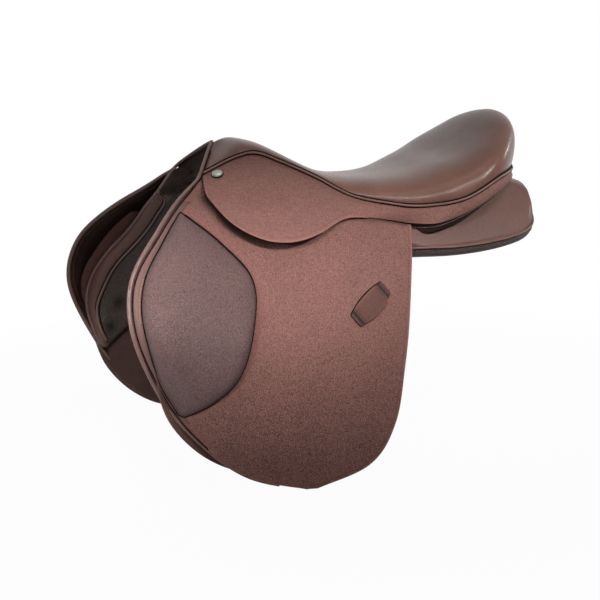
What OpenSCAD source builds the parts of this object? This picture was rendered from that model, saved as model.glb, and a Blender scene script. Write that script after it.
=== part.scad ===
// Jumping saddle: tree, seat, skirts, flaps, girth straps and panels.
// X points to the horse's head, Y to its left, Z up. The origin lies on the horse's back,
// straight below the deepest point of the seat.

/* [Seat] */
// Seat size from the stud to the middle of the cantle
seat_len = 445; // [420:1:470]
// Height of the pommel top over the back
pommel_h = 157; // [150:1:166]
// Height of the deepest point of the seat
dip_h = 105; // [101:1:112]
// Height of the cantle top
cantle_h = 195; // [186:1:206]
// Width of the seat at the waist, between the welts
twist_w = 130; // [122:1:138]
// Width of the seat at its widest, between the welts
seat_w = 276; // [262:1:290]
// Thickness of the seat leather
cover_t = 2.6; // [2:0.1:3.4]
// Thickness of the foam over the middle of the tree
foam_t = 21; // [16:0.5:24]
// Diameter of the piping
welt_d = 4.6; // [3.6:0.1:5.4]

/* [Skirts] */
// Room between the flap and the skirt, for the stirrup leather
skirt_gap = 1.8; // [1.5:0.1:4]
// Thickness of the skirts and of the cantle band
skirt_t = 3.4; // [2.6:0.1:4.4]
// Diameter of the stud at the front corner of each skirt
stud_d = 14; // [10:0.5:18]

/* [Flaps] */
// Reach of the flaps below the back
flap_drop = 270; // [250:1:292]
// Reach of the flap's front edge before the deepest point of the seat
flap_front = 345; // [325:1:365]
// Width across both flaps at the bottom
flap_span = 406; // [390:1:430]
// Thickness of the flap leather
flap_t = 4; // [3:0.1:5]
// Height of the knee pad over the flap
pad_h = 8; // [5:0.5:12]
// Length of the surcingle keeper
keeper_len = 60; // [48:1:70]
// Width of the surcingle keeper
keeper_w = 27; // [22:0.5:32]
// Thickness of the surcingle keeper
keeper_t = 2.2; // [1.6:0.1:3]

/* [Panels] */
// Width of the channel between the panels
channel_w = 64; // [56:1:72]
// Width across both panels at their widest
panel_w = 282; // [268:1:294]
// Thickness of the front pads
panel_t = 20; // [15:0.5:24]
// Thickness of the sweat flaps
sweat_t = 3; // [2.2:0.1:3.6]
// Room between the flap and the sweat flap, for blocks and girth straps
bay = 22.5; // [22:0.5:26]

/* [Girth straps] */
// Width of a strap
strap_w = 25; // [20:1:30]
// Thickness of a strap
strap_t = 3.6; // [2.8:0.1:4.2]
// Length of a strap below its rivet
strap_len = 280; // [250:1:286]
// Diameter of the holes
hole_d = 5; // [4:0.5:6]
// Step from hole to hole
hole_step = 25; // [20:1:28]
// Number of holes in a strap
hole_n = 6; // [4:1:7]
// Diameter of the rivet that carries a strap
rivet_d = 8; // [6:0.5:10]

/* [Stirrup bars] */
// Diameter of the bar
bar_d = 8; // [7:0.5:9]
// Length of the bar, from its root to its hinge
bar_len = 72; // [64:1:80]
// Length of the safety catch
catch_len = 24; // [18:1:26]
// Diameter of the pin of the safety catch
pin_d = 3.4; // [2.6:0.1:4]
// Thickness of the head plate
plate_t = 4; // [3:0.1:4.6]

/* [Clearances] */
// Gap between leathers that lie on each other
lay = 0.4; // [0.3:0.05:0.6]
// Gap round a pin
pin_gap = 0.25; // [0.2:0.05:0.4]

/* [Hidden] */

// Lengthwise places follow the seat size
kx = seat_len / 445;
// Heights of the front arch, the flap tops and the skirts follow the pommel
kz = pommel_h / 157;
eps = 0.02;
// Overlap of the two halves of the seat at the middle
seam = 0.3;
half_twist = twist_w / 2;
half_seat = seat_w / 2;
half_span = flap_span / 2;
half_panel = panel_w / 2;
half_channel = channel_w / 2;

// Helpers: straight blend, soft step, and a smooth curve through knots [place, value]
function mix(a, b, t) = a + (b - a) * t;
function clamp(t, a, b) = min(max(t, a), b);
function soft(t) = let(u = clamp(t, 0, 1)) u * u * (3 - 2 * u);
function span(k, t, i = 0) = i < len(k) - 2 && t > k[i + 1][0] ? span(k, t, i + 1) : i;
function slope(k, i) = let(a = max(i - 1, 0), b = min(i + 1, len(k) - 1))
    (k[b][1] - k[a][1]) / (k[b][0] - k[a][0]);
function curve(k, t) =
    let(i = span(k, t), h = k[i + 1][0] - k[i][0], u = (t - k[i][0]) / h, w = 1 - u)
    u < 0 ? k[i][1] + slope(k, i) * (t - k[i][0]) :
    u > 1 ? k[i + 1][1] + slope(k, i + 1) * (t - k[i + 1][0]) :
    k[i][1] * (1 + 2 * u) * w * w + slope(k, i) * h * u * w * w
    + k[i + 1][1] * u * u * (3 - 2 * u) - slope(k, i + 1) * h * u * u * w;
// Knots at equal steps of 0 to 1 through a list of points
function path(p) = [for (i = [0 : len(p) - 1]) [i / (len(p) - 1), p[i]]];

// Triangles of a grid of points, n rows of m, from index o on
function skin(n, m, o, turn) = [for (i = [0 : n - 2], j = [0 : m - 2])
    let(a = o + i * m + j, b = a + 1, c = a + m, d = c + 1)
    each turn ? [[a, b, d], [a, d, c]] : [[a, d, b], [a, c, d]]];
// Slab between an outer and an inner grid of points
module slab(outer, inner, turn = false) {
    n = len(outer);
    m = len(outer[0]);
    o = n * m;
    edge = concat([for (j = [0 : m - 1]) j], [for (i = [1 : n - 1]) i * m + m - 1],
        [for (j = [m - 2 : -1 : 0]) (n - 1) * m + j], [for (i = [n - 2 : -1 : 1]) i * m]);
    e = len(edge);
    rim = [for (i = [0 : e - 1]) let(a = edge[i], b = edge[(i + 1) % e], c = a + o, d = b + o)
        each turn ? [[a, c, d], [a, d, b]] : [[a, d, c], [a, b, d]]];
    polyhedron([for (r = outer) each r, for (r = inner) each r],
        concat(skin(n, m, 0, turn), skin(n, m, o, !turn), rim));
}
// Both halves of a slab whose first column and last row lie in the middle plane
module twin_slab(outer, inner) {
    n = len(outer);
    m = len(outer[0]);
    h = n * m;
    function middle(i, j) = j == 0 || i == n - 1;
    function at(side, layer, i, j) = (middle(i, j) ? 0 : side * 2 * h) + layer * h + i * m + j;
    function tri(a, b, c, flip) = flip ? [a, c, b] : [a, b, c];
    function quad(a, b, c, d, flip) = [tri(a, c, b, flip), tri(b, c, d, flip)];
    points = [for (side = [1, -1], g = [outer, inner], i = [0 : n - 1], j = [0 : m - 1])
        [g[i][j][0], middle(i, j) ? 0 : side * g[i][j][1], g[i][j][2]]];
    skins = [for (k = [0, 1], layer = [0, 1], i = [0 : n - 2], j = [0 : m - 2])
        each quad(at(k, layer, i, j), at(k, layer, i, j + 1),
            at(k, layer, i + 1, j), at(k, layer, i + 1, j + 1), k != layer)];
    front = [for (k = [0, 1], j = [0 : m - 2])
        each quad(at(k, 0, 0, j), at(k, 1, 0, j), at(k, 0, 0, j + 1), at(k, 1, 0, j + 1), k == 1)];
    side = [for (k = [0, 1], i = [0 : n - 2])
        each quad(at(k, 0, i, m - 1), at(k, 1, i, m - 1),
            at(k, 0, i + 1, m - 1), at(k, 1, i + 1, m - 1), k == 1)];
    polyhedron(points, concat(skins, front, side));
}
// Loft through closed rings of points
module loft(rings, turn = false) {
    n = len(rings);
    m = len(rings[0]);
    ends = [for (r = [rings[0], rings[n - 1]]) [for (k = [0 : 2]) mean([for (p = r) p[k]])]];
    wall = [for (i = [0 : n - 2], j = [0 : m - 1])
        let(a = i * m + j, b = i * m + (j + 1) % m, c = a + m, d = b + m)
        each turn ? [[a, b, d], [a, d, c]] : [[a, d, b], [a, c, d]]];
    caps = [for (j = [0 : m - 1]) let(k = (j + 1) % m, q = (n - 1) * m)
        each turn ? [[n * m, k, j], [n * m + 1, q + j, q + k]] : [[n * m, j, k], [n * m + 1, q + k, q + j]]];
    polyhedron([for (r = rings) each r, each ends], concat(wall, caps));
}
function mean(v) = v * [for (i = v) 1] / len(v);
// Tube along a list of points
function unit(v) = v / norm(v);
module tube(p, d, sides = 6) {
    n = len(p);
    loft([for (i = [0 : n - 1])
        let(t = unit(p[min(i + 1, n - 1)] - p[max(i - 1, 0)]),
            u = unit(cross(t, [0.31, 0.17, 0.94])), w = cross(t, u))
        [for (a = [0 : sides - 1]) p[i] + d / 2 * (cos(a * 360 / sides) * u + sin(a * 360 / sides) * w)]]);
}
// Profile in Y and Z, drawn out along X from x0 to x1
module along_x(x0, x1) {
    translate([x0, 0, 0]) rotate([90, 0, 90]) linear_extrude(x1 - x0) children();
}
module right() {
    mirror([0, 1, 0]) children();
}

// Seat: welt line from the front corner to the middle of the cantle, spine below the crest, crest heights
rise = pommel_h - dip_h;
swell = cantle_h - dip_h;
widen = half_seat - half_twist;
welt_line = path([
    [219 * kx, half_twist - 9, pommel_h - 39],
    [178 * kx, half_twist - 8, pommel_h - 20],
    [150 * kx, half_twist - 4, pommel_h - 14.5],
    [118 * kx, half_twist, pommel_h - 26],
    [74 * kx, half_twist + 0.12 * widen, dip_h + 6],
    [28 * kx, half_twist + 0.3 * widen, dip_h - 19],
    [-16 * kx, half_twist + 0.55 * widen, dip_h - 29],
    [-58 * kx, half_twist + 0.77 * widen, dip_h - 33],
    [-112 * kx, half_seat, dip_h - 24],
    [-166 * kx, 0.96 * half_seat, cantle_h - 88],
    [-212 * kx, 0.66 * half_seat, cantle_h - 82],
    [-230 * kx, 0.34 * half_seat, cantle_h - 80],
    [-236 * kx, 0, cantle_h - 79]]);
spine = path([187, 167, 146, 114, 72, 30, -5, -35, -68, -98, -122, -136, -140] * kx);
crest = [[-242 * kx, cantle_h - 4], [-228 * kx, cantle_h], [-215 * kx, cantle_h - 2],
    [-195 * kx, dip_h + 0.87 * swell], [-165 * kx, dip_h + 0.64 * swell], [-135 * kx, dip_h + 0.39 * swell],
    [-105 * kx, dip_h + 0.2 * swell], [-70 * kx, dip_h + 0.06 * swell], [-35 * kx, dip_h + 0.5], [0, dip_h],
    [21 * kx, dip_h + 0.03 * rise], [45 * kx, dip_h + 0.12 * rise], [68 * kx, dip_h + 0.27 * rise],
    [91 * kx, dip_h + 0.48 * rise], [114 * kx, dip_h + 0.71 * rise], [136 * kx, pommel_h - 5],
    [158 * kx, pommel_h], [172 * kx, pommel_h - 0.7], [187 * kx, pommel_h - 5]];
squareness = [[0, 2.2], [0.33, 2.4], [0.5, 3.2], [0.65, 4.4], [1, 6]];
overhang = [[0, 0], [0.4, 0], [0.6, 3], [0.8, 6], [1, 8]];
function crest_z(x) = curve(crest, clamp(x, -242 * kx, 187 * kx));
// Places along the welt, and shares of the way from the spine to the welt, that all layers of the seat use
layer_s = [for (i = [0 : 20]) i / 20];
cover_r = [0, 0.25, 0.5, 0.64, 0.78, 0.88, 0.94, 0.98, 1];
foam_r = [0, 0.25, 0.5, 0.64, 0.78, 0.88, 0.94];
// Point of the seat at welt place s and share r of the way out, d below the outer face
function seat_at(s, r, d) =
    let(w = curve(welt_line, s), c = [curve(spine, s), 0, w[2]], a = asin(pow(r, curve(squareness, s) / 2)),
        p = mix(c, w, r * (1 - d / norm(w - c))),
        out = unit(w - c) * max(curve(overhang, s), 0) * max(sin(2 * a), 0))
    [p[0] + out[0], r < 0.01 || s > 0.999 ? 0 : max(p[1] + out[1], 0),
        w[2] + (crest_z(p[0]) - d - w[2]) * cos(a)];
function seat_grid(d) = [for (s = layer_s) [for (r = cover_r) seat_at(s, r, d)]];

// Tree: top face under the foam at welt place s, share r of the way out from the spine
tree_t = 7;
web_t = 1.8;
function tree_z(s, r) =
    let(w = curve(welt_line, s), x = mix(curve(spine, s), w[0], r), low = w[2] - 8)
    low + (crest_z(x) - cover_t - foam_t - web_t - 2 * lay - low) * (1 - r * r);
function tree_at(s, r, up) =
    let(w = curve(welt_line, s), p = mix([curve(spine, s), 0, 0], w, r))
    [p[0], p[1] - (r < 0.01 || s > 0.999 ? seam : 0), tree_z(s, r) + up];

// Sides: outer face of the flap at length x and height z
side_line = [[-278, half_span], [-192, half_span - 4], [-96, half_span - 18], [0, half_span - 53.5],
    [47 * kz, 122.5], [76 * kz, 101.6], [105 * kz, 80.7], [160 * kz, 41.1]];
knee_swell = 36.5;
knee_top = 82 * kz;
knee_line = [[-192, 0], [-144, 0.15], [-62, 1], [0, 1], [40 * kz, 0.7], [knee_top, 0]];
function side_plain(z) = curve(side_line, z);
function side_y(x, z) = side_plain(z)
    + knee_swell * soft((x / kx - 144) / 182) * max(curve(knee_line, clamp(z, -192, knee_top)), 0)
    - 11 * soft((x / kx - 150) / 70) * soft((z - 105 * kz) / 15);
function on_side(q, off) = [q[0], side_y(q[0], q[1]) + off, q[1]];
// Hinge line of flap and skirt
hinge_b = [-43 * kx, 47 * kz];
hinge_a = [243 * kx, 105 * kz];
hinge_k = (hinge_a[1] - hinge_b[1]) / (hinge_a[0] - hinge_b[0]);
function hinge_z(x) = hinge_b[1] + hinge_k * (x - hinge_b[0]);
// Sheet on the side between a rear and a front edge, from offset lo to offset hi
function side_rows(rear, front, n, m, last = 1) = [for (i = [0 : n]) let(v = last * i / n)
    let(a = curve(path(rear), v), b = curve(path(front), v)) [for (j = [0 : m]) mix(a, b, j / m)]];
module side_sheet(rows, lo, hi) {
    slab([for (r = rows) [for (q = r) on_side(q, hi)]], [for (r = rows) [for (q = r) on_side(q, lo)]]);
}

// Flap outline: rear and front edge, both from the hinge line to the bottom
drop = flap_drop / 270;
reach = flap_front / 345;
flap_rear = [hinge_b - [0, lay], [-25 * kx, -32], [-6 * kx, -120 * drop], [9 * kx, -195 * drop],
    [42 * kx, -245 * drop], [125 * kx, -flap_drop]];
flap_fore = [hinge_a - [0, lay], [296 * reach, 55 * kz], [337 * reach, 7], [flap_front, -50],
    [324 * reach, -115 * drop], [282 * reach, -185 * drop], [215 * reach, -244 * drop], [125 * kx, -flap_drop]];
skirt_out = skirt_gap + skirt_t;
// Space left free in the flap for the stirrup bar
bar_x1 = 176 * kx;
bar_x0 = bar_x1 - bar_len;
bar_z = 70 * kz;
slot_h = 40 * kz;

module flap() {
    color("#6e4a45") difference() {
        side_sheet(side_rows(flap_rear, flap_fore, 16, 10, 0.985), -flap_t, 0);
        translate([mix(bar_x0 - catch_len, bar_x1, 0.5) + 4, 0, hinge_z(bar_x1) + 6]) rotate([-90, 0, 0])
            linear_extrude(half_span) hull() for (k = [-1, 1], v = [0, 1])
                translate([k * ((bar_len + catch_len) / 2 + 2), v * (slot_h - 8)]) circle(8, $fn = 32);
    }
}
// Fixed corner of the flap, above the hinge line
head_top = 114 * kz;
module flap_head() {
    rows = [for (v = [0 : 0.25 : 1]) [for (u = [0 : 0.25 : 1])
        let(x0 = 196 * kx, x1 = mix(hinge_a[0], 225 * kx, v), x = mix(x0, x1, u))
        [x, mix(hinge_z(x) + lay, head_top, v), -12 * v]]];
    color("#6e4a45") slab([for (r = rows) [for (q = r) on_side(q, q[2])]],
        [for (r = rows) [for (q = r) on_side(q, q[2] - flap_t)]]);
}
// Piping on the flap's front edge
function off_edge(p, v, d) = let(t = unit(curve(path(p), v + 0.01) - curve(path(p), v - 0.01)))
    curve(path(p), v) + d * [-t[1], t[0]];
module flap_welt() {
    color("#9a7b74") tube([for (v = [0.02 : 0.04 : 0.87])
        on_side(off_edge(flap_fore, v, welt_d / 2 + 2 * lay), -flap_t / 2)], welt_d);
}
pad_fore = [[268 * reach, 73 * kz], [300 * reach, 40 * kz], [330 * reach, 2], [338 * reach, -46],
    [322 * reach, -122 * drop], [293 * reach, -168 * drop]];
pad_rear = [[262 * reach, 68 * kz], [222 * reach, 36 * kz], [188 * reach, -5], [193 * reach, -55 * drop],
    [222 * reach, -124 * drop], [284 * reach, -169 * drop]];
module knee_pad() {
    rows = side_rows(pad_rear, pad_fore, 12, 8);
    function crown(i, j) = pow(sin(180 * (0.04 + 0.92 * i / 12)) * sin(180 * (0.04 + 0.92 * j / 8)), 0.4);
    color("#75605f") slab(
        [for (i = [0 : 12]) [for (j = [0 : 8]) on_side(rows[i][j], 4 * lay + pad_h * crown(i, j))]],
        [for (r = rows) [for (q = r) on_side(q, 4 * lay)]]);
}
module keeper() {
    c = [34 * kx, -45 * drop];
    n = 8;
    color("#6a4742") side_sheet([for (i = [0 : n]) let(u = 2 * i / n - 1, w = keeper_w / 2 * (1 - 0.35 * u * u))
        [for (j = [-1 : 0.5 : 1]) c + keeper_len / 2 * u * [-0.78, 0.62] + w * j * [0.62, 0.78]]],
        lay, lay + keeper_t);
}

// Skirt and cantle band: lower edge, at the same places s as the welt line
skirt_edge = path([[225 * kx, 86 * kz], [206 * kx, 61 * kz], [172 * kx, 42 * kz], [134 * kx, 36 * kz],
    [92 * kx, 44 * kz], [47 * kx, 59.5 * kz], [-2 * kx, 55.5 * kz], [-50 * kx, 48 * kz],
    [-98 * kx, 54 * kz], [-148 * kx, 78 * kz],
    [-206 * kx, cantle_h - 98], [-232 * kx, cantle_h - 96], [-238 * kx, cantle_h - 96]]);
band_y = path([0, 0, 0, 0, 0, 0, 0, side_plain(48 * kz) + 6, half_seat - 2, half_seat + 1, 0.71 * half_seat,
    0.35 * half_seat, 0]);
function edge_y(s) = let(q = curve(skirt_edge, s))
    mix(side_plain(q[1]) + skirt_out, curve(band_y, s), soft((s - 0.5) * 12));
// Share of the way down, at place s, where the skirt crosses the hinge line
function hinge_share(s) = let(w = curve(welt_line, s), q = curve(skirt_edge, s))
    clamp((hinge_z(w[0]) - w[2]) / ((q[1] - w[2]) - hinge_k * (q[0] - w[0])), 0.2, 1);
// Outer face of the skirt at place s, share r of the way down, off outwards
function skirt_at(s, r, off) =
    let(w = curve(welt_line, s), q = curve(skirt_edge, s), h = hinge_share(s),
        x = mix(w[0], q[0], r), z = mix(w[2] - 3, q[1], r), ys = side_y(x, z) + skirt_out,
        xh = mix(w[0], q[0], h), zh = mix(w[2] - 3, q[1], h), yh = side_y(xh, zh) + skirt_out,
        top = w[1] + 1, t = min(r / h, 1),
        front = r < h ? mix(top, yh, t) + 2.5 * sin(180 * t) : ys,
        back = mix(top, edge_y(s), r) + 2 * sin(180 * r),
        y = mix(front, back, soft((s - 0.44) * 16)),
        turn = soft((s - 0.7) / 0.3), n = unit([-turn, 1.02 - turn]))
    [x + off * n[0], s > 0.999 ? -seam : max(y + off * n[1], 0), z];
module skirt_sheet(s0, s1, n, r0, r1, m) {
    rows = [for (i = [0 : n]) let(s = mix(s0, s1, i / n), h = hinge_share(s))
        [for (j = [0 : m]) [s, mix(r0 == 0 ? 0 : h + 0.014, r1 == 1 ? 1 : h - 0.002, j / m)]]];
    slab([for (r = rows) [for (q = r) skirt_at(q[0], q[1], 0)]],
        [for (r = rows) [for (q = r) skirt_at(q[0], q[1], -skirt_t)]]);
}
band_s = 0.49;
module skirt_top() { color("#74504a") skirt_sheet(0, band_s, 14, 0, 0.5, 3); }
module skirt() { color("#74504a") skirt_sheet(0, 0.452, 14, 0.5, 1, 3); }
module band_half() {
    rows = [for (i = [0 : 14]) mix(band_s + 0.001, 1, i / 14)];
    slab([for (s = rows) [for (r = [0 : 0.25 : 1]) skirt_at(s, r, 0)]],
        [for (s = rows) [for (r = [0 : 0.25 : 1]) skirt_at(s, r, -skirt_t)]]);
}
module cantle_band() {
    color("#74504a") {
        band_half();
        right() band_half();
    }
}
stud_s = 0.035;
stud_r = 0.16;
// Turns +Z to the direction n
module face(n) {
    rotate([0, acos(n[2]), atan2(n[1], n[0])]) children();
}
module stud() {
    p = skirt_at(stud_s, stud_r, 0);
    n = unit(cross(skirt_at(stud_s, stud_r + 0.05, 0) - p, skirt_at(stud_s + 0.02, stud_r, 0) - p));
    color("silver") translate(p + (2 * lay) * n) face(n) {
        cylinder(h = 1.4, d = stud_d, $fn = 48);
        translate([0, 0, 1.4 - eps]) rotate_extrude($fn = 48) intersection() {
            translate([0, -stud_d]) circle(r = stud_d + 2, $fn = 96);
            square([stud_d / 2 - 1, 3]);
        }
    }
}

// Seat pieces
module seat_cover() {
    color("#7a554d") twin_slab(seat_grid(0), seat_grid(cover_t));
}
// First place of foam and tree, behind the lining of the pommel front
head_s = 1;
module seat_foam() {
    rows = [for (i = [head_s : 20]) layer_s[i]];
    color("#d8c89a") twin_slab([for (s = rows) [for (r = foam_r) seat_at(s, r, cover_t + lay)]],
        [for (s = rows) [for (r = foam_r) tree_at(s, r * 0.98, web_t + 2 * lay + 0.75)]]);
}
web_r = [0, 0.25, 0.5, 0.64];
module half_web() {
    rows = [for (i = [6 : 18]) layer_s[i]];
    slab([for (s = rows) [for (r = web_r) tree_at(s, r, web_t + lay)]],
        [for (s = rows) [for (r = web_r) tree_at(s, r, lay)]]);
}
module seat_webbing() {
    color("#b9a27a") {
        half_web();
        right() half_web();
    }
}
module seat_welt() {
    places = [for (i = [0 : 32]) 0.012 + 0.0305 * i];
    d = welt_d / 2 + 0.5;
    color("#8d6a63") for (k = [1, -1]) tube([for (s = places)
        let(w = curve(welt_line, s), o = unit([w[0] - curve(spine, s), w[1], 0]))
        [w[0] + o[0] * d, k * (w[1] + o[1] * d), w[2] - 0.3]], welt_d);
}

// Piping over the pommel front, from one flap head to the other
module pommel_welt() {
    half = concat([for (v = [0.2, 0.5, 0.75]) let(x = mix(hinge_a[0], 225 * kx, v))
            on_side([x + welt_d / 2 + 4 * lay, mix(hinge_z(x) + lay, head_top, v)], -12 * v - flap_t / 2)],
        [for (i = [len(cover_r) - 1 : -1 : 0]) seat_at(0, cover_r[i], 0) + [welt_d / 2 + 2 * lay, 0, 0]]);
    other = [for (i = [len(half) - 2 : -1 : 0]) [half[i][0], -half[i][1], half[i][2]]];
    color("#9a7b74") tube(concat(half, other), welt_d);
}

// Tree with its open middle, head plate and points
hollow = [[0, 0], [0.15, 0], [0.25, 0.42], [0.35, 0.5], [0.9, 0.5], [1, 0.46]];
module half_tree() {
    rows = [for (i = [head_s : 20]) let(s = layer_s[i], r0 = clamp(curve(hollow, s), 0, 0.52))
        [for (r = [r0, 0.64, 0.78, 0.92]) [s, r]]];
    slab([for (q = rows) [for (p = q) tree_at(p[0], p[1], 0)]],
        [for (q = rows) [for (p = q) tree_at(p[0], p[1], -tree_t)]]);
}
module tree_shell() {
    color("#c9a46a") {
        half_tree();
        right() half_tree();
    }
}
// Distances in from the flap's outer face
bar_in = 1.5;
point_in = bar_in + bar_d + 3.5;
point_t = 6;
plate_in = point_in + point_t + lay;
sweat_in = flap_t + bay;
plate_x0 = 138 * kx;
plate_x1 = 170 * kx;
function strip(z0, z1, n, a, b) = concat([for (i = [0 : n]) let(z = mix(z0, z1, i / n)) [side_plain(z) - a, z]],
    [for (i = [n : -1 : 0]) let(z = mix(z0, z1, i / n)) [side_plain(z) - b, z]]);
plate_z0 = 52 * kz;
plate_z1 = 104 * kz;
plate_top = pommel_h - 39;
// Head plate: splayed legs and a round bow between them, d in from its outer face
function plate_line(d) = let(y = side_plain(plate_z1) - plate_in - d) concat(
    [for (z = [plate_z0, mix(plate_z0, plate_z1, 0.5)]) [side_plain(z) - plate_in - d, z]],
    [for (a = [0 : 10 : 180]) [y * cos(a), plate_z1 + (plate_top - plate_z1 - d) * sin(a)]],
    [for (z = [mix(plate_z0, plate_z1, 0.5), plate_z0]) [plate_in + d - side_plain(z), z]]);
function turned(v) = [for (i = [len(v) - 1 : -1 : 0]) v[i]];
module head_plate() {
    color("gray") along_x(plate_x0, plate_x1) polygon(concat(plate_line(0), turned(plate_line(plate_t))));
}
screw_z = 58 * kz;
screw_d = 9;
screw_h = 1.4;
function lean(z) = atan2(side_plain(z - 4) - side_plain(z + 4), 8);
function side_n(z) = [0, cos(lean(z)), sin(lean(z))];
// Point at height z, d in from the flap's outer face, then t out along the face's direction
function side_in(x, z, d, t) = [x, side_plain(z) - d, z] + t * side_n(z);
module head_screws() {
    color("silver") for (k = [0, 1], x = [plate_x0 + 8, plate_x1 - 8]) mirror([0, k, 0])
        translate(side_in(x, screw_z, plate_in + plate_t, -1.6)) face(side_n(screw_z))
            cylinder(h = screw_h, d = screw_d, $fn = 32);
}
module tree_point() {
    color("#c9a46a") along_x(plate_x0, 192 * kx)
        polygon(strip(46 * kz, plate_z1 - 1, 5, point_in, point_in + point_t));
}
// Stirrup bar: plate on the tree point, bar running back, fork for the safety catch
bar_y = side_plain(bar_z) - bar_in - bar_d / 2;
root_z1 = 98 * kz;
bar_plate_t = 4.4;
bar_rivet_z = 88 * kz;
bar_rivet_d = 7;
module stirrup_bar() {
    color("silver") difference() {
        union() {
            along_x(bar_x1 - 14, bar_x1 + 24 * kx)
                polygon(strip(bar_z - 3, root_z1, 3, point_in - bar_plate_t, point_in - 0.2));
            translate([bar_x0 + 7, bar_y, bar_z]) rotate([0, 90, 0])
                cylinder(h = bar_len - 7, d = bar_d, $fn = 48);
            translate([bar_x1 - 12, bar_y - bar_d / 2, bar_z - bar_d / 2]) cube([16, bar_d, bar_d]);
            at_catch() for (k = [0, 1]) translate([-4, -bar_d / 2 + k * (bar_d - ear_t), -bar_d / 2])
                cube([12, ear_t, bar_d]);
        }
        at_catch() pin_hole();
    }
}
// Hinge of the safety catch: its pin stands square to the side
ear_t = 2;
module at_catch() {
    translate([bar_x0, bar_y, bar_z]) rotate([lean(bar_z), 0, 0]) children();
}
module pin_hole() {
    rotate([90, 0, 0]) cylinder(h = 2 * bar_d, d = pin_d + 2 * pin_gap, center = true, $fn = 48);
}
module catch() {
    t = bar_d - 2 * ear_t - 2 * pin_gap;
    color("silver") at_catch() difference() {
        translate([0, t / 2, 0]) rotate([90, 0, 0]) linear_extrude(t) {
            circle(d = bar_d - 1, $fn = 48);
            translate([3 - catch_len, 0.5 - bar_d / 2]) square([catch_len - 3, bar_d - 1]);
            translate([3 - catch_len, 1]) circle(d = bar_d + 1, $fn = 48);
        }
        pin_hole();
    }
}
module catch_pin() {
    color("gray") at_catch() rotate([90, 0, 0]) cylinder(h = bar_d, d = pin_d, center = true, $fn = 48);
}
module bar_rivets() {
    color("gray") for (x = [bar_x1 - 5, bar_x1 + 15 * kx])
        translate(side_in(x, bar_rivet_z, point_in - bar_plate_t, 0.2)) face(side_n(bar_rivet_z))
            cylinder(h = 1.8, d = bar_rivet_d, $fn = 32);
}

// Sweat flap, blocks and girth straps
sweat_rear = [[40 * kx, 46 * kz], [26 * kx, -40], [20 * kx, -130 * drop], [32 * kx, -205 * drop],
    [62 * kx, -240 * drop], [125 * kx, -flap_drop + 9]];
// Its front edge stands back from the flap's, so that the knee block shows between the two
sweat_fore = [[255 * reach, 65 * kz], [266 * reach, 30 * kz], [289 * reach, 0], [319 * reach, -57],
    [321 * reach, -100 * drop], [297 * reach, -179 * drop], [232 * reach, -236 * drop],
    [125 * kx, -flap_drop + 9]];
module sweat_flap() {
    color("#4a3833") side_sheet(side_rows(sweat_rear, sweat_fore, 16, 10, 0.98), -sweat_in - sweat_t, -sweat_in);
}
// Block between sweat flap and flap, round like a cushion
module block(rear, front, h) {
    rows = side_rows(rear, front, 8, 5);
    function crown(i, j) = pow(sin(180 * (0.05 + 0.9 * i / 8)) * sin(180 * (0.05 + 0.9 * j / 5)), 0.45);
    slab([for (i = [0 : 8]) [for (j = [0 : 5]) on_side(rows[i][j], -sweat_in + 2 * lay + h * crown(i, j))]],
        [for (r = rows) [for (q = r) on_side(q, -sweat_in + 2 * lay)]]);
}
block_h = bay - 3;
module knee_block() {
    color("#7b5650") block(
        [[246 * reach, 50 * kz], [256 * reach, 10], [284 * reach, -50], [286 * reach, -110 * drop]],
        [[272 * reach, 52 * kz], [300 * reach, 12], [328 * reach, -50], [318 * reach, -114 * drop]], block_h);
}
module thigh_block() {
    color("#7b5650") block([[32 * kx, -60], [26 * kx, -100], [25 * kx, -140], [34 * kx, -178]],
        [[40 * kx, -60], [48 * kx, -100], [50 * kx, -140], [46 * kx, -178]], block_h - 6);
}
// Girth strap: follows the side, turns on a rivet square to it, the rear one under the front one
pivot_z = 40 * kz;
strap_in = flap_t + 4.4;
strap_step = strap_t + 2.4;
strap_front_x = 126 * kx;
strap_rear_x = 86 * kx;
module strap(x, in) {
    z1 = pivot_z - strap_len;
    color("#5a3c36") difference() {
        intersection() {
            along_x(x - strap_w / 2, x + strap_w / 2) polygon(strip(z1, pivot_z + 13, 16, in, in + strap_t));
            translate([x, half_span, 0]) rotate([90, 0, 0]) linear_extrude(half_span) polygon(concat(
                [[-strap_w / 2, z1 + 20], [-4, z1], [4, z1], [strap_w / 2, z1 + 20]],
                [for (a = [0 : 20 : 180]) [strap_w / 2 * cos(a), pivot_z + 10 * sin(a)]]));
        }
        for (i = [0 : hole_n - 1]) translate([x, 0, z1 + 38 + i * hole_step]) rotate([-90, 0, 0])
            cylinder(h = half_span + 10, d = hole_d, $fn = 32);
        translate(side_in(x, pivot_z, in + strap_t / 2, -20)) face(side_n(pivot_z))
            cylinder(h = 40, d = rivet_d + 2 * pin_gap, $fn = 48);
    }
}
// Rivet from the sweat flap through a strap that lies at distance in
module strap_rivet(x, in) {
    c = cos(lean(pivot_z));
    foot = (sweat_in - in - strap_t / 2) * c - lay;
    top = strap_t / 2 * c + 0.5;
    translate(side_in(x, pivot_z, in + strap_t / 2, -foot)) face(side_n(pivot_z)) {
        cylinder(h = foot + top, d = rivet_d, $fn = 48);
        translate([0, 0, foot + top - eps]) cylinder(h = 1.4, d = rivet_d + 5, $fn = 48);
    }
}
module strap_rivets() {
    color("#b08d57") {
        strap_rivet(strap_front_x, strap_in);
        strap_rivet(strap_rear_x, strap_in + strap_step);
    }
}

// Panels: rear cushion and front pad in one, lofted along X
panel_in = sweat_in + sweat_t + 4 * lay;
panel_half_w = [[-253, -79], [-248, -60], [-240, -44], [-225, -27], [-200, -12], [-170, -3],
    [-130, 0], [-90, -3], [-50, -11], [-10, -20], [30, -28], [70, -32], [130, -36]];
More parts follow.
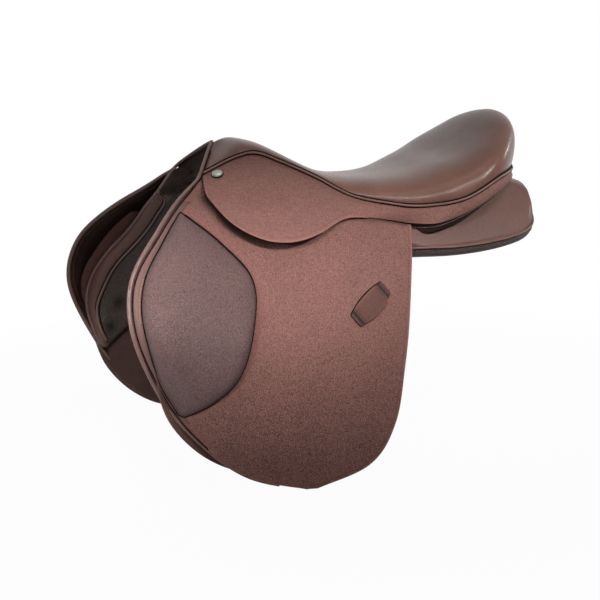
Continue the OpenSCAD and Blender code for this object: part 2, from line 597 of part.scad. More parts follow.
// The top lies under the tree: it follows the cantle, the deepest point of the seat and the pommel
panel_top = [[-253, cantle_h - 123], [-240, cantle_h - 111], [-200, cantle_h - 107],
    [-150, mix(cantle_h - 119, dip_h - 29, 0.5)], [-100, dip_h - 47], [-60, dip_h - 52], [-20, dip_h - 51],
    [28, dip_h - 45], [74, mix(dip_h - 25, 80 * kz, 0.5)], [118, 96 * kz]];
panel_seam = [[-253, 38], [-240, 31], [-200, 26], [-150, 19], [-100, 15], [-40, 15], [0, 10], [30, 5],
    [80, -15], [130, -38], [180, -64], [220, -88], [260, -113], [290, -138], [304, -146], [313, -128],
    [319, -108], [322, -92]];
panel_low = [[-253, 34], [-240, 21], [-200, 11], [-150, 3], [-100, 0], [-50, -1], [0, 0], [60, 6], [130, 20]];
front_top = [[130, 99 * kz], [190, 104 * kz], [212, 114 * kz], [221, 116 * kz], [232, 103 * kz],
    [244, 86 * kz], [255, 64 * kz], [265, 36 * kz], [278, 13 * kz], [295, -10], [310, -36], [319, -62],
    [322, -80]];
// Front tip of the pad
panel_x1 = 322;
// Distance of the pad's outer face behind the flap's outer face
function pad_in(x, z) = let(near = soft((x / kx - 205) / 22))
    mix(panel_in, mix(panel_in, flap_t + 2, soft((z - 72 * kz) / 42)), near);
function rear_ring(x, u, inner) =
    let(k = x / kx, ye = half_panel + curve(panel_half_w, k), yc = min(half_channel, ye - 16),
        z1 = curve(panel_top, k), ze = curve(panel_seam, min(k, 130)), zb = curve(panel_low, k),
        zs = min(ze + 20, z1 - 3))
    inner ? curve(path([[yc, z1 - 4], [yc, mix(z1, zb, 0.55)], [yc + 10, zb + 2], [mix(yc, ye, 0.55), zb],
        [ye - 5, ze - 9], [ye, ze]]), u)
    : curve(path([[yc, z1 - 4], [mix(yc, ye, 0.45), z1], [ye - 18, mix(z1, zs, 0.6)], [ye - 2, zs - 4],
        [ye, ze]]), u);
function front_ring(x, u, inner) =
    let(k = x / kx, z0 = curve(front_top, k), z = mix(z0, curve(panel_seam, k), u),
        y = side_y(x, z) - pad_in(x, z), full = panel_t * pow(soft((panel_x1 + 2 - k) / 26), 0.7),
        t = full * pow(sin(180 * (0.03 + 0.94 * u)), 0.35))
    inner ? [y - max(t, 1.2), z] : [y, z];
function panel_point(x, u, inner) =
    let(k = x / kx, q = k < -20 ? rear_ring(x, u, inner) : k > 130 ? front_ring(x, u, inner)
        : mix(rear_ring(x, u, inner), front_ring(max(x, 60 * kx), u, inner), soft((k + 20) / 150)),
        limit = side_y(x, q[1]) - mix(flap_t + 4, panel_in, soft((k + 50) / 70)))
    [x, inner || k > 130 ? q[0] : min(q[0], limit), q[1]];
panel_x = [-253, -249, -241, -228, -206, -175, -140, -100, -60, -20, 20, 58, 92, 120, 150, 180, 206, 221, 233,
    246, 257, 267, 280, 295, 308, 317, panel_x1];
ring_n = 9;
module panel() {
    color("#5b4640") loft([for (k = panel_x) let(x = k * kx) concat(
        [for (i = [0 : ring_n]) panel_point(x, i / ring_n, true)],
        [for (i = [ring_n - 1 : -1 : 1]) panel_point(x, i / ring_n, false)])]);
}
// Piping on the seam of the rear cushion
function seam_at(k) = let(p = panel_point(k * kx, 1, true),
        t = unit(panel_point((k + 2) * kx, 1, true) - panel_point((k - 2) * kx, 1, true)))
    p + (welt_d / 2 + 2 * lay) * unit([-t[1], t[0], 0]);
module panel_welt() {
    color("#8d6a63") tube([for (k = panel_x) if (k > -250 && k < 0) seam_at(k)], welt_d);
}
// Lining of the channel roof between the panels
roof_x = [for (k = panel_x) if (k > -248 && k < 125) k];
// Height of the lining: on the panels, and under the tree towards the pommel
roof_t = 2.2;
function roof_z(x) = min(panel_point(x, 1 / ring_n, false)[2] + lay,
    crest_z(x) - cover_t - foam_t - web_t - tree_t - 8);
function roof_w(x) = mix(panel_point(x, 1 / ring_n, false)[1] - 1, half_channel + 1, soft((x / kx + 20) / 40));
function roof_row(x, up) = [for (y = [-1, -0.5, 0, 0.5, 1] * roof_w(x)) [x, y, roof_z(x) + up]];
module channel_lining() {
    color("#3d302b") slab([for (k = roof_x) roof_row(k * kx, roof_t)], [for (k = roof_x) roof_row(k * kx, 0)]);
}
// Lining under the pommel, from the front edge of the seat to the head plate
module arch_lining() {
    q = [-0.96, -0.86, -0.68, -0.4, 0, 0.4, 0.68, 0.86, 0.96];
    low = plate_top - plate_t - 6;
    side = side_plain(plate_z1) - panel_in - 0.55 * panel_t - 3;
    function front_at(a) = let(p = seat_at(0, abs(a), cover_t + 1)) [p[0], sign(a) * p[1] * 0.78, p[2] - 4];
    function knee_at(a) = let(p = front_at(a)) [p[0] - 6, p[1] * 0.94, min(low - 12 * a * a, p[2] - 8)];
    function back_at(a) = [plate_x0 - 6, side * a, low - 14 * a * a];
    function at(a, t) = t < 0.34 ? mix(front_at(a), knee_at(a), t * 3)
        : mix(knee_at(a), back_at(a), (t - 0.33) * 1.5);
    places = [0, 0.16, 0.33, 0.6, 0.8, 1];
    color("#3d302b") slab([for (t = places) [for (a = q) at(a, t)]],
        [for (t = places) [for (a = q) at(a, t) - [t < 0.3 ? -2 : 0, 0, t < 0.3 ? 1 : 2.4]]]);
}

seat_cover();
seat_foam();
seat_webbing();
seat_welt();
pommel_welt();
tree_shell();
head_plate();
head_screws();
arch_lining();
channel_lining();
cantle_band();
tree_point();  // tree_point_left
right() tree_point();  // tree_point_right
stirrup_bar();  // stirrup_bar_left
right() stirrup_bar();  // stirrup_bar_right
catch();  // catch_left
right() catch();  // catch_right
catch_pin();  // catch_pin_left
right() catch_pin();  // catch_pin_right
bar_rivets();  // bar_rivets_left
right() bar_rivets();  // bar_rivets_right
skirt_top();  // skirt_top_left
right() skirt_top();  // skirt_top_right
skirt();  // skirt_left
right() skirt();  // skirt_right
stud();  // stud_left
right() stud();  // stud_right
flap_head();  // flap_head_left
right() flap_head();  // flap_head_right
flap();  // flap_left
right() flap();  // flap_right
flap_welt();  // flap_welt_left
right() flap_welt();  // flap_welt_right
knee_pad();  // knee_pad_left
right() knee_pad();  // knee_pad_right
keeper();  // keeper_left
right() keeper();  // keeper_right
sweat_flap();  // sweat_flap_left
right() sweat_flap();  // sweat_flap_right
knee_block();  // knee_block_left
right() knee_block();  // knee_block_right
thigh_block();  // thigh_block_left
right() thigh_block();  // thigh_block_right
strap(strap_front_x, strap_in);  // strap_front_left
right() strap(strap_front_x, strap_in);  // strap_front_right
strap(strap_rear_x, strap_in + strap_step);  // strap_rear_left
right() strap(strap_rear_x, strap_in + strap_step);  // strap_rear_right
strap_rivets();  // strap_rivets_left
right() strap_rivets();  // strap_rivets_right
panel();  // panel_left
right() panel();  // panel_right
panel_welt();  // panel_welt_left
right() panel_welt();  // panel_welt_right
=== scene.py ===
import math
import bpy
import bmesh
import numpy as np
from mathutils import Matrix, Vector
from mathutils.geometry import delaunay_2d_cdt


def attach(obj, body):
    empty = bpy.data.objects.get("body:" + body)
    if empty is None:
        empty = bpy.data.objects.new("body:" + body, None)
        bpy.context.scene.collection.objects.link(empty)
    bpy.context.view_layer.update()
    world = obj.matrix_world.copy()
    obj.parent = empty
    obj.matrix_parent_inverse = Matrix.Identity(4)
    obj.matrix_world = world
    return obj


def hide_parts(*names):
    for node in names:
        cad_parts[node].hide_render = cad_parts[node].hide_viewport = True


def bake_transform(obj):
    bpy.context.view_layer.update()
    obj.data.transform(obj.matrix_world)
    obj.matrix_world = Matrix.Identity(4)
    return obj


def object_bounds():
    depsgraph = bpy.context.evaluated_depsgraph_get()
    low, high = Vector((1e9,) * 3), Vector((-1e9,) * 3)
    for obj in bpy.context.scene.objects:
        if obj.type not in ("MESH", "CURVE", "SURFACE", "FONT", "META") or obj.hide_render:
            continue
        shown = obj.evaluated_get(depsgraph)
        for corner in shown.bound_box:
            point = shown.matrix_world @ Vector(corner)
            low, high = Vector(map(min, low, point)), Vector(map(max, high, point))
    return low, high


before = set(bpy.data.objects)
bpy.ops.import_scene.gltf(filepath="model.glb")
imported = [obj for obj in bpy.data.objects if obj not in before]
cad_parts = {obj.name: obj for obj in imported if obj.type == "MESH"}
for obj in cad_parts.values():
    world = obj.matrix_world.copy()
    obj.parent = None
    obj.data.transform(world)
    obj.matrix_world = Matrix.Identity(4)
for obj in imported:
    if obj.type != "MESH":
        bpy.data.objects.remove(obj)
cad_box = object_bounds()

# Jumping saddle. All formulas work in millimetres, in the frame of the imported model: x forward, y left, z up.
# The left side is made by formulas, and the right side is its mirror image.
MM = 0.001
SIDES = (("left", 1.0), ("right", -1.0))
MIRROR = np.array([1.0, -1.0, 1.0])
UP = np.array([0.0, 0.0, 1.0])


# Curves: smooth line through knots, the same rule as in the source
def knots(*pairs):
    return np.array([p[0] for p in pairs], float), np.array([np.atleast_1d(p[1]) for p in pairs], float)


def path(points, step=None):
    v = np.array(points, float).reshape(len(points), -1)
    step = step or 1 / (len(v) - 1)
    return np.arange(len(v)) * step, v


def curve(k, t):
    a, v = k
    t = np.asarray(t, float)
    n = len(a)
    lo, hi = np.maximum(np.arange(n) - 1, 0), np.minimum(np.arange(n) + 1, n - 1)
    m = (v[hi] - v[lo]) / (a[hi] - a[lo])[:, None]
    i = np.clip(np.searchsorted(a, t, side="left") - 1, 0, n - 2)
    h = (a[i + 1] - a[i])[..., None]
    u = (t - a[i])[..., None] / h
    c = np.clip(u, 0, 1)
    w = 1 - c
    p = (v[i] * (1 + 2 * c) * w * w + m[i] * h * c * w * w
         + v[i + 1] * c * c * (3 - 2 * c) - m[i + 1] * h * c * c * w)
    p = p + np.where(u < 0, m[i] * h * u, 0) + np.where(u > 1, m[i + 1] * h * (u - 1), 0)
    return p[..., 0] if v.shape[1] == 1 else p


# The same curve, level beyond its first and last knot
def held(k, t):
    return curve(k, np.clip(t, k[0][0], k[0][-1]))


def mix(a, b, t):
    return a + (b - a) * t


def soft(t):
    u = np.clip(t, 0, 1)
    return u * u * (3 - 2 * u)


def bell(d, at, width):
    return np.exp(-((d - at) / width) ** 2)


def unit(v):
    return v / np.maximum(np.linalg.norm(v, axis=-1, keepdims=True), 1e-9)


def stack(*parts):
    return np.stack(np.broadcast_arrays(*[np.asarray(p, float) for p in parts]), -1)


# Two measures as arrays of one shape
def alike(a, b):
    return np.broadcast_arrays(np.asarray(a, float), np.asarray(b, float))


# Places bunched towards both ends, and towards the far end
def both_ends(n, power):
    t = np.linspace(-1, 1, n)
    return 0.5 + 0.5 * np.sign(t) * (1 - (1 - np.abs(t)) ** power)


def far_end(n, power=2.2):
    return 1 - (1 - np.linspace(0, 1, n)) ** power


# Mean of each row with its two neighbours
def eased(g):
    return 0.25 * g[:-2] + 0.5 * g[1:-1] + 0.25 * g[2:]


# Length run along a line of points, and places at given lengths
def run_length(p):
    return np.concatenate([[0], np.cumsum(np.linalg.norm(np.diff(p, axis=0), axis=1))])


def at_length(p, d, at):
    return np.stack([np.interp(at, d, p[:, k]) for k in range(p.shape[1])], -1)


def spaced(p, step):
    d = run_length(p)
    n = max(int(round(d[-1] / step)), 2)
    return at_length(p, d, np.linspace(0, d[-1], n + 1))


# Evenly spaced places, smoothed
def smooth_run(points, step, turns):
    p = spaced(np.array(points), step)
    for _ in range(turns):
        p[1:-1] = eased(p)
    return p


# Line moved by d towards a middle place, in two measures
def inset(line, d, middle):
    g = unit(np.gradient(line, axis=0))
    n = stack(-g[:, 1], g[:, 0])
    return line + n * (d * np.sign(np.sum(n * (middle - line))))


# Distance of places q from a line of points, all in two measures
def distance(q, line):
    flat = q.reshape(-1, 2)
    out = np.full(len(flat), 1e9)
    for a, b in zip(line[:-1], line[1:]):
        ab = b - a
        t = np.clip(((flat - a) @ ab) / max(ab @ ab, 1e-9), 0, 1)
        out = np.minimum(out, np.linalg.norm(flat - (a + t[:, None] * ab), axis=1))
    return out.reshape(q.shape[:-1])


# Smooth random field, the same on every run
def ripple(p, size, seed):
    g = np.random.default_rng(seed)
    total = np.zeros(p.shape[:-1])
    for k in range(5):
        d = g.normal(size=p.shape[-1])
        total += np.sin(p @ (d / np.linalg.norm(d)) * (2 * np.pi / size) * g.uniform(0.6, 1.6) + g.uniform(0, 6.28))
    return total / 5


# Rows that run from one side over the middle to the other side
def both_halves(g, flip=MIRROR):
    return np.concatenate([g, g[-2::-1] * flip])


# Sizes, as in the source
pommel_h, dip_h, cantle_h = 157, 105, 195
half_twist, half_seat = 65, 138
cover_t, foam_t, tree_t, web_t = 2.6, 21, 7, 1.8
skirt_gap, skirt_t = 1.8, 3.4
flap_drop, flap_front, half_span, flap_t = 270, 345, 203, 4
pad_h, keeper_len, keeper_w, keeper_t = 8, 60, 27, 2.2
half_channel, half_panel, panel_t, sweat_t, bay = 32, 141, 20, 3, 22.5
strap_w, strap_t, strap_len, hole_d, hole_step, hole_n = 25, 3.6, 280, 5, 25, 6
lay = 0.4
rise, swell, widen = pommel_h - dip_h, cantle_h - dip_h, half_seat - half_twist
skirt_out = skirt_gap + skirt_t
sweat_in = flap_t + bay
panel_in = sweat_in + sweat_t + 4 * lay

# Seat lines, carried one knot past the middle of the cantle so that both halves meet smoothly
STEP = 1 / 12
MIDDLE_S = 0.9999
WELT = path([
    (219, half_twist - 9, pommel_h - 39), (178, half_twist - 8, pommel_h - 20),
    (150, half_twist - 4, pommel_h - 14.5), (118, half_twist, pommel_h - 26),
    (74, half_twist + 0.12 * widen, dip_h + 6), (28, half_twist + 0.3 * widen, dip_h - 19),
    (-16, half_twist + 0.55 * widen, dip_h - 29), (-58, half_twist + 0.77 * widen, dip_h - 33),
    (-112, half_seat, dip_h - 24), (-166, 0.96 * half_seat, cantle_h - 88),
    (-207, 0.645 * half_seat, cantle_h - 82), (-224, 0.335 * half_seat, cantle_h - 80),
    (-229.5, 0, cantle_h - 79), (-224, -0.335 * half_seat, cantle_h - 80)], STEP)
SPINE = path([187, 167, 146, 114, 72, 30, -5, -35, -68, -98, -122, -136, -140, -136], STEP)
CREST = knots((-242, cantle_h), (-228, cantle_h + 2), (-215, cantle_h - 0.5), (-195, dip_h + 0.855 * swell),
              (-165, dip_h + 0.57 * swell), (-135, dip_h + 0.33 * swell), (-105, dip_h + 0.19 * swell),
              (-70, dip_h + 0.06 * swell), (-35, dip_h + 0.5), (0, dip_h), (21, dip_h + 0.03 * rise),
              (45, dip_h + 0.12 * rise), (68, dip_h + 0.27 * rise), (91, dip_h + 0.48 * rise),
              (114, dip_h + 0.71 * rise), (136, pommel_h - 5), (158, pommel_h), (172, pommel_h - 0.7),
              (187, pommel_h - 5))
SQUARE = knots((0, 2.2), (0.33, 2.4), (0.5, 2.9), (0.65, 3.5), (0.8, 5.6), (1, 9.5))
OVERHANG = knots((0, 0), (0.4, 0), (0.6, 3), (0.8, 9), (1, 16))
TENT_S, TENT_POWER, TREE_UNDER = 0.13, 1.12, 8


def crest_z(x):
    return held(CREST, x)


def seat_at(s, r, d=0.0):
    s, r = alike(s, r)
    w = curve(WELT, s)
    c = stack(curve(SPINE, s), 0, w[..., 2])
    a = np.arcsin(np.clip(r ** (curve(SQUARE, s) / 2), 0, 1))
    far = np.linalg.norm(w - c, axis=-1)
    p = c + (w - c) * (r * (1 - d / far))[..., None]
    reach = np.maximum(curve(OVERHANG, s), 0) * np.maximum(np.sin(2 * a), 0)
    out = (w - c) / far[..., None] * reach[..., None]
    y = np.where((r < 0.001) | (s > MIDDLE_S), 0, np.maximum(p[..., 1] + out[..., 1], 0))
    # Round across, but straight like a tent at the front edge
    tent = 1 - soft(s / TENT_S)
    return stack(p[..., 0] + out[..., 0], y,
                 w[..., 2] + (crest_z(p[..., 0]) - d - w[..., 2]) * mix(np.cos(a), 1 - r ** TENT_POWER, tent))


def tree_at(s, r, up):
    s, r = alike(s, r)
    w = curve(WELT, s)
    x = mix(curve(SPINE, s), w[..., 0], r)
    low = w[..., 2] - TREE_UNDER
    z = low + (crest_z(x) - cover_t - foam_t - web_t - 2 * lay - low) * (1 - r * r)
    return stack(x, np.where(s > MIDDLE_S, 0, w[..., 1] * r), z + up)


# Sides: outer face of the flap at length x and height z
SIDE = knots((-278, half_span), (-192, half_span - 4), (-96, half_span - 18), (0, half_span - 53.5),
             (47, 122.5), (76, 101.6), (105, 80.7), (160, 41.1))
KNEE = knots((-192, 0), (-144, 0.15), (-62, 1), (0, 1), (40, 0.7), (82, 0))
KNEE_SWELL, KNEE_X0, KNEE_W = 36.5, 144, 182
POMMEL_IN, POMMEL_X0, POMMEL_Z0 = 11, 150, 105


def side_plain(z):
    return curve(SIDE, z)


def side_y(x, z):
    return (side_plain(z) + KNEE_SWELL * soft((x - KNEE_X0) / KNEE_W) * np.maximum(held(KNEE, z), 0)
            - POMMEL_IN * soft((x - POMMEL_X0) / 70) * soft((z - POMMEL_Z0) / 15))


# The flap draws in towards the pommel, and its front rolls in round the leg
DRAWN_IN = knots((58, 0), (70, -1), (80, -3.5), (90, -8.5), (100, -10.5), (110, -6.5), (120, -1), (132, 0))
ROLL = knots((-262, 0), (-225, -12), (-160, -27), (-90, -29), (-40, -27), (0, -23), (30, -13), (50, -7), (75, -3),
             (100, 0))
ROLL_W = 45


def flap_y(x, z):
    return side_y(x, z) + soft((x - 185) / 45) * np.minimum(held(DRAWN_IN, z), 0)


def on_side(q, off=0.0):
    return stack(q[..., 0], flap_y(q[..., 0], q[..., 1]) + off, q[..., 1])


def roll_at(z):
    return np.minimum(held(ROLL, z), 0)


def on_flap(q, off=0.0):
    near = np.clip(1 - distance(q, curve(FLAP_FORE, np.linspace(0, 1, 90))) / ROLL_W, 0, 1)
    return on_side(q, off + roll_at(q[..., 1]) * near ** 2)


# Outward normal of either face, from places a little apart
def normal_of(face, q, d=1.5):
    gx, gz = ((face(q + s)[..., 1] - face(q - s)[..., 1]) / (2 * d) for s in np.eye(2) * d)
    return unit(stack(-gx, 1, -gz))


HINGE_B, HINGE_A = np.array([-43.0, 47.0]), np.array([243.0, 105.0])
hinge_k = (HINGE_A[1] - HINGE_B[1]) / (HINGE_A[0] - HINGE_B[0])


def hinge_z(x):
    return HINGE_B[1] + hinge_k * (x - HINGE_B[0])


def side_rows(rear, fore, v, u):
    a, b = curve(rear, v)[:, None, :], curve(fore, v)[:, None, :]
    return a + (b - a) * np.asarray(u)[None, :, None]


# Outlines on the side, each as a rear and a fore line that meet at the bottom
HEAD_X = 234.5
FLAP_REAR = path([HINGE_B - [0, lay], (-25, -32), (-6, -120), (11, -195), (47, -245), (125, -flap_drop)])
FLAP_FORE = path([(HEAD_X, hinge_z(HEAD_X) - lay), (293, 56), (335.5, 7), (flap_front - 0.5, -50), (321, -115),
                  (278, -185), (213, -243), (125, -flap_drop)])
PAD_FORE = path([(263, 75), (296, 44), (327, 4), (335.5, -47), (316, -116), (290, -164)])
PAD_REAR = path([(258, 70), (222, 37), (189, -5), (193, -55), (222, -124), (284, -166)])
SWEAT_REAR = path([(40, 46), (26, -40), (20, -130), (32, -205), (62, -240), (125, 9 - flap_drop)])
SWEAT_FORE = path([(255, 65), (266, 30), (289, 0), (319, -57), (321, -100), (297, -179), (232, -236),
                   (125, 9 - flap_drop)])
SKIRT_EDGE = path([(225, 86), (206, 61), (172, 42), (134, 36), (92, 44), (47, 59.5), (-2, 55.5), (-50, 48),
                   (-98, 54), (-148, 78), (-203, cantle_h - 98), (-228, cantle_h - 96), (-234, cantle_h - 96),
                   (-228, cantle_h - 96)], STEP)
BAND_Y = path([0, 0, 0, 0, 0, 0, 0, float(side_plain(48)) + 6, half_seat - 2, half_seat + 1, 0.71 * half_seat,
               0.35 * half_seat, 0, -0.35 * half_seat], STEP)

# Skirt: how far its top lies under the welt, its crowns, and the shares of its length where its form changes
SKIRT_UNDER, FRONT_CROWN, BACK_CROWN = 3, 2.5, 2
BOW_S, BOW_OUT, CORNER_S, CORNER_IN = 0.09, 4.5, 0.05, 2.5
BAND_FROM, EDGE_FROM, TURN_FROM, TURN_W = 0.44, 0.5, 0.7, 0.3


def hinge_share(s):
    w, q = curve(WELT, s), curve(SKIRT_EDGE, s)
    return np.clip((hinge_z(w[..., 0]) - w[..., 2])
                   / ((q[..., 1] - w[..., 2]) - hinge_k * (q[..., 0] - w[..., 0])), 0.2, 1)


def skirt_at(s, r, off=0.0):
    s, r = alike(s, r)
    w, q, h = curve(WELT, s), curve(SKIRT_EDGE, s), hinge_share(s)
    (x, z), (xh, zh) = ((mix(w[..., 0], q[..., 0], k), mix(w[..., 2] - SKIRT_UNDER, q[..., 1], k)) for k in (r, h))
    top, t = w[..., 1] + 1, np.minimum(r / h, 1)
    front = np.where(r < h, mix(top, side_y(xh, zh) + skirt_out, t) + FRONT_CROWN * np.sin(np.pi * t),
                     side_y(x, z) + skirt_out)
    edge = mix(side_plain(q[..., 1]) + skirt_out, curve(BAND_Y, s), soft((s - EDGE_FROM) * 12))
    back = mix(top, edge, r) + BACK_CROWN * np.sin(np.pi * r)
    y = mix(front, back, soft((s - BAND_FROM) * 16))
    turn = soft((s - TURN_FROM) / TURN_W)
    n = unit(stack(-turn, 1.02 - turn))
    # The front edge is a round bow, drawn in at its lower corner
    x = x + (1 - soft(s / BOW_S)) * BOW_OUT * np.sin(np.pi * r) - (1 - soft(s / CORNER_S)) * CORNER_IN * r ** 4
    return stack(x + off * n[..., 0], np.where(s > MIDDLE_S, 0, np.maximum(y + off * n[..., 1], 0)), z)


# Panels: half width, top, seam and low line along the cushion, and the top line of the front pad
HALF_W = knots((-253, -79), (-248, -60), (-240, -44), (-225, -27), (-200, -12), (-170, -3), (-130, 0), (-90, -3),
               (-50, -11), (-10, -20), (30, -28), (70, -32), (130, -36))
P_TOP = knots((-253, 78), (-240, 91), (-200, 94), (-150, 80), (-100, 58), (-60, 53), (-20, 54), (28, 60), (74, 80),
              (118, 96))
P_SEAM = knots((-253, 50), (-240, 42), (-222, 34), (-200, 28.5), (-150, 21.5), (-100, 17.5), (-40, 16.5), (0, 10),
               (30, 5), (80, -15), (130, -38), (180, -64), (220, -88), (260, -113), (290, -138), (304, -146),
               (313, -128), (319, -108), (322, -92))
P_LOW = knots((-253, 34), (-240, 21), (-200, 11), (-150, 3), (-100, 0), (-50, -1), (0, 0), (60, 6), (130, 20))
F_TOP = knots((130, 99), (190, 104), (212, 114), (221, 116), (232, 103), (244, 86), (255, 64), (265, 36), (278, 13),
              (295, -10), (310, -36), (319, -62), (322, -80))
FRONT_X0, REAR_X1, PANEL_X1 = -20, 130, 322
# Under the pommel the front pad lies close to the flap, and it thins out towards its tip
CLOSE_X, CLOSE_W, CLOSE_Z, CLOSE_H, CLOSE_GAP = 205, 22, 72, 42, 2
THIN_W, THIN_T = 26, 1.2


def rear_ring(x, u, inner):
    ye = half_panel + float(curve(HALF_W, x))
    yc = min(half_channel, ye - 16)
    z1, ze, zb = float(curve(P_TOP, x)), float(curve(P_SEAM, min(x, REAR_X1))), float(curve(P_LOW, x))
    zs = min(ze + 20, z1 - 3)
    if inner:
        p = [(yc, z1 - 4), (yc, mix(z1, zb, 0.55)), (yc + 10, zb + 2), (mix(yc, ye, 0.55), zb), (ye - 5, ze - 12),
             (ye, ze)]
    else:
        k = soft((-80 - x) / 60)
        p = [(yc, z1 - 4), (mix(yc, ye, 0.45), z1), (ye - mix(18, 13, k), mix(z1, zs, mix(0.6, 0.42, k))),
             (ye - 2, zs - 4), (ye, ze)]
    return curve(path(p), u)


def front_ring(x, u, inner):
    z = mix(float(curve(F_TOP, x)), float(curve(P_SEAM, x)), u)
    near = soft((x - CLOSE_X) / CLOSE_W)
    pad_in = mix(panel_in, mix(panel_in, flap_t + CLOSE_GAP, soft((z - CLOSE_Z) / CLOSE_H)), near)
    y = flap_y(x, z) - pad_in
    t = panel_t * soft((PANEL_X1 + 2 - x) / THIN_W) ** 0.7 * np.sin(np.pi * (0.03 + 0.94 * u)) ** 0.35
    return stack(y - np.maximum(t, THIN_T) if inner else y, z)


def panel_points(x, u, inner):
    x, u = float(x), np.asarray(u, float)
    if x < FRONT_X0:
        q = rear_ring(x, u, inner)
    elif x > REAR_X1:
        q = front_ring(x, u, inner)
    else:
        q = mix(rear_ring(x, u, inner), front_ring(max(x, 60.0), u, inner),
                soft((x - FRONT_X0) / (REAR_X1 - FRONT_X0)))
    y = q[..., 0]
    if not inner and x <= REAR_X1:
        y = np.minimum(y, side_y(x, q[..., 1]) - mix(flap_t + 4, panel_in, soft((x + 50) / 70)))
    return stack(x, y, q[..., 1])


# Geometry: a dict with points, faces, and what the materials need
def grid_faces(n, m, mask=None):
    i, j = np.meshgrid(np.arange(n - 1), np.arange(m - 1), indexing="ij")
    a = (i * m + j).reshape(-1)
    f = np.stack([a, a + 1, a + m + 1, a + m], -1)
    return f if mask is None else f[mask.reshape(-1)]


def ring_faces(n, m):
    i, j = np.meshgrid(np.arange(n - 1), np.arange(m), indexing="ij")
    k = (j + 1) % m
    return np.stack([i * m + j, i * m + k, (i + 1) * m + k, (i + 1) * m + j], -1).reshape(-1, 4)


def rim_of(faces):
    n = faces.shape[1]
    e = np.concatenate([faces[:, [k, (k + 1) % n]] for k in range(n)])
    _, first, count = np.unique(np.sort(e, 1), axis=0, return_index=True, return_counts=True)
    return e[first[count == 1]]


def rim_walls(rim, o):
    return np.stack([rim[:, 1], rim[:, 0], rim[:, 0] + o, rim[:, 1] + o], -1)


def slab(outer, inner, mask=None, lined=False, **extra):
    n, m = outer.shape[:2]
    f = grid_faces(n, m, mask)
    rim = rim_of(f)
    o = n * m
    g = dict(v=np.concatenate([outer.reshape(-1, 3), inner.reshape(-1, 3)]),
             f=np.concatenate([f, f[:, ::-1] + o, rim_walls(rim, o)]), bevel=np.concatenate([rim, rim + o]))
    if lined:
        g["m"] = np.repeat([0, 1, 0], [len(f), len(f), len(rim)])
    for k, a in extra.items():
        g[k] = np.tile(a.reshape(-1), 2)
    return g


# Round cord along points, with round ends: how far out and how wide each end ring is
ENDS = ((0.35, 0.94), (0.7, 0.72), (0.95, 0.3))
SEAM_SIDES, CORD_SIDES, PIPE_SIDES = 8, 10, 12
PIPE_STEP, THREAD_STEP, SEAM_D = 2.5, 2, 1.8


def tube_geo(points, d, sides=SEAM_SIDES, step=None):
    p = spaced(points, step) if step else np.asarray(points, float)
    n = len(p)
    t = unit(p[np.minimum(np.arange(n) + 1, n - 1)] - p[np.maximum(np.arange(n) - 1, 0)])
    u = np.zeros_like(p)
    u[0] = unit(np.cross(t[0], [0.31, 0.17, 0.94]))
    for i in range(1, n):
        u[i] = unit(u[i - 1] - t[i] * (u[i - 1] @ t[i]))
    w = np.cross(t, u)
    rad = np.broadcast_to(np.asarray(d, float) / 2, (n,))
    rings = [(p[0] - t[0] * rad[0] * c, u[0], w[0], rad[0] * r) for c, r in ENDS[::-1]]
    rings += list(zip(p, u, w, rad))
    rings += [(p[-1] + t[-1] * rad[-1] * c, u[-1], w[-1], rad[-1] * r) for c, r in ENDS]
    a = np.arange(sides)[:, None] * 2 * np.pi / sides
    m = len(rings)
    return dict(v=np.concatenate([c + r * (np.cos(a) * x + np.sin(a) * y) for c, x, y, r in rings]),
                f=ring_faces(m, sides), caps=[list(range(sides))[::-1], list(range((m - 1) * sides, m * sides))])


# Stitches: small threads lying on a surface, along points with normals
THREAD_SIDES, THREAD_AHEAD = 6, 0.4


def stitch_geo(points, normals, pitch=3.4, length=2.4, width=0.75, height=0.35):
    d = run_length(points)
    n = max(int(d[-1] / pitch), 1)
    at = (np.arange(n) + 0.5) * (d[-1] / n)
    c, e, b = (at_length(points, d, at + k) for k in (0, THREAD_AHEAD, -THREAD_AHEAD))
    nn = unit(at_length(normals, d, at))
    t = unit(e - b)
    t = unit(t - nn * np.sum(t * nn, -1, keepdims=True))
    along = np.array([-1, -0.8, 0, 0.8, 1]) * length / 2
    thick = np.array([0.25, 0.75, 1, 0.75, 0.25])[:, None]
    lift = np.array([-0.35, 0.05, 0.3, 0.05, -0.35])[:, None] * height
    a = np.arange(THREAD_SIDES) * 2 * np.pi / THREAD_SIDES
    c, t, nn, w = (g[:, None, None, :] for g in (c, t, nn, np.cross(nn, t)))
    v = (c + t * along[:, None, None] + w * (thick * np.cos(a) * width / 2)[..., None]
         + nn * (thick * np.sin(a) * height + lift)[..., None])
    k = len(along)
    first = np.arange(n)[:, None] * THREAD_SIDES * k
    around = np.arange(THREAD_SIDES)
    ends = np.concatenate([first + around[::-1], first + THREAD_SIDES * (k - 1) + around])
    return dict(v=v.reshape(-1, 3), f=(ring_faces(k, THREAD_SIDES) + first[..., None]).reshape(-1, 4),
                caps=ends.tolist())


def sewn(face, line, off=0.0, turn=1.0, **size):
    return stitch_geo(face(line, off), normal_of(face, line) * turn, **size)


# Places on a grid of points with the outward normals there, and stitches along them
def on_grid(g, i, j):
    i, j = alike(i, j)
    a, b = np.clip(i.astype(int), 0, g.shape[0] - 2), np.clip(j.astype(int), 0, g.shape[1] - 2)
    p, q = (i - a)[..., None], (j - b)[..., None]
    normal = -unit(np.cross(np.gradient(g, axis=0), np.gradient(g, axis=1)))
    return [mix(mix(h[a, b], h[a + 1, b], p), mix(h[a, b + 1], h[a + 1, b + 1], p), q) for h in (g, normal)]


def stitch_on(g, i, j, **size):
    p, n = on_grid(g, i, j)
    return stitch_geo(p + n * 0.1, n, **size)


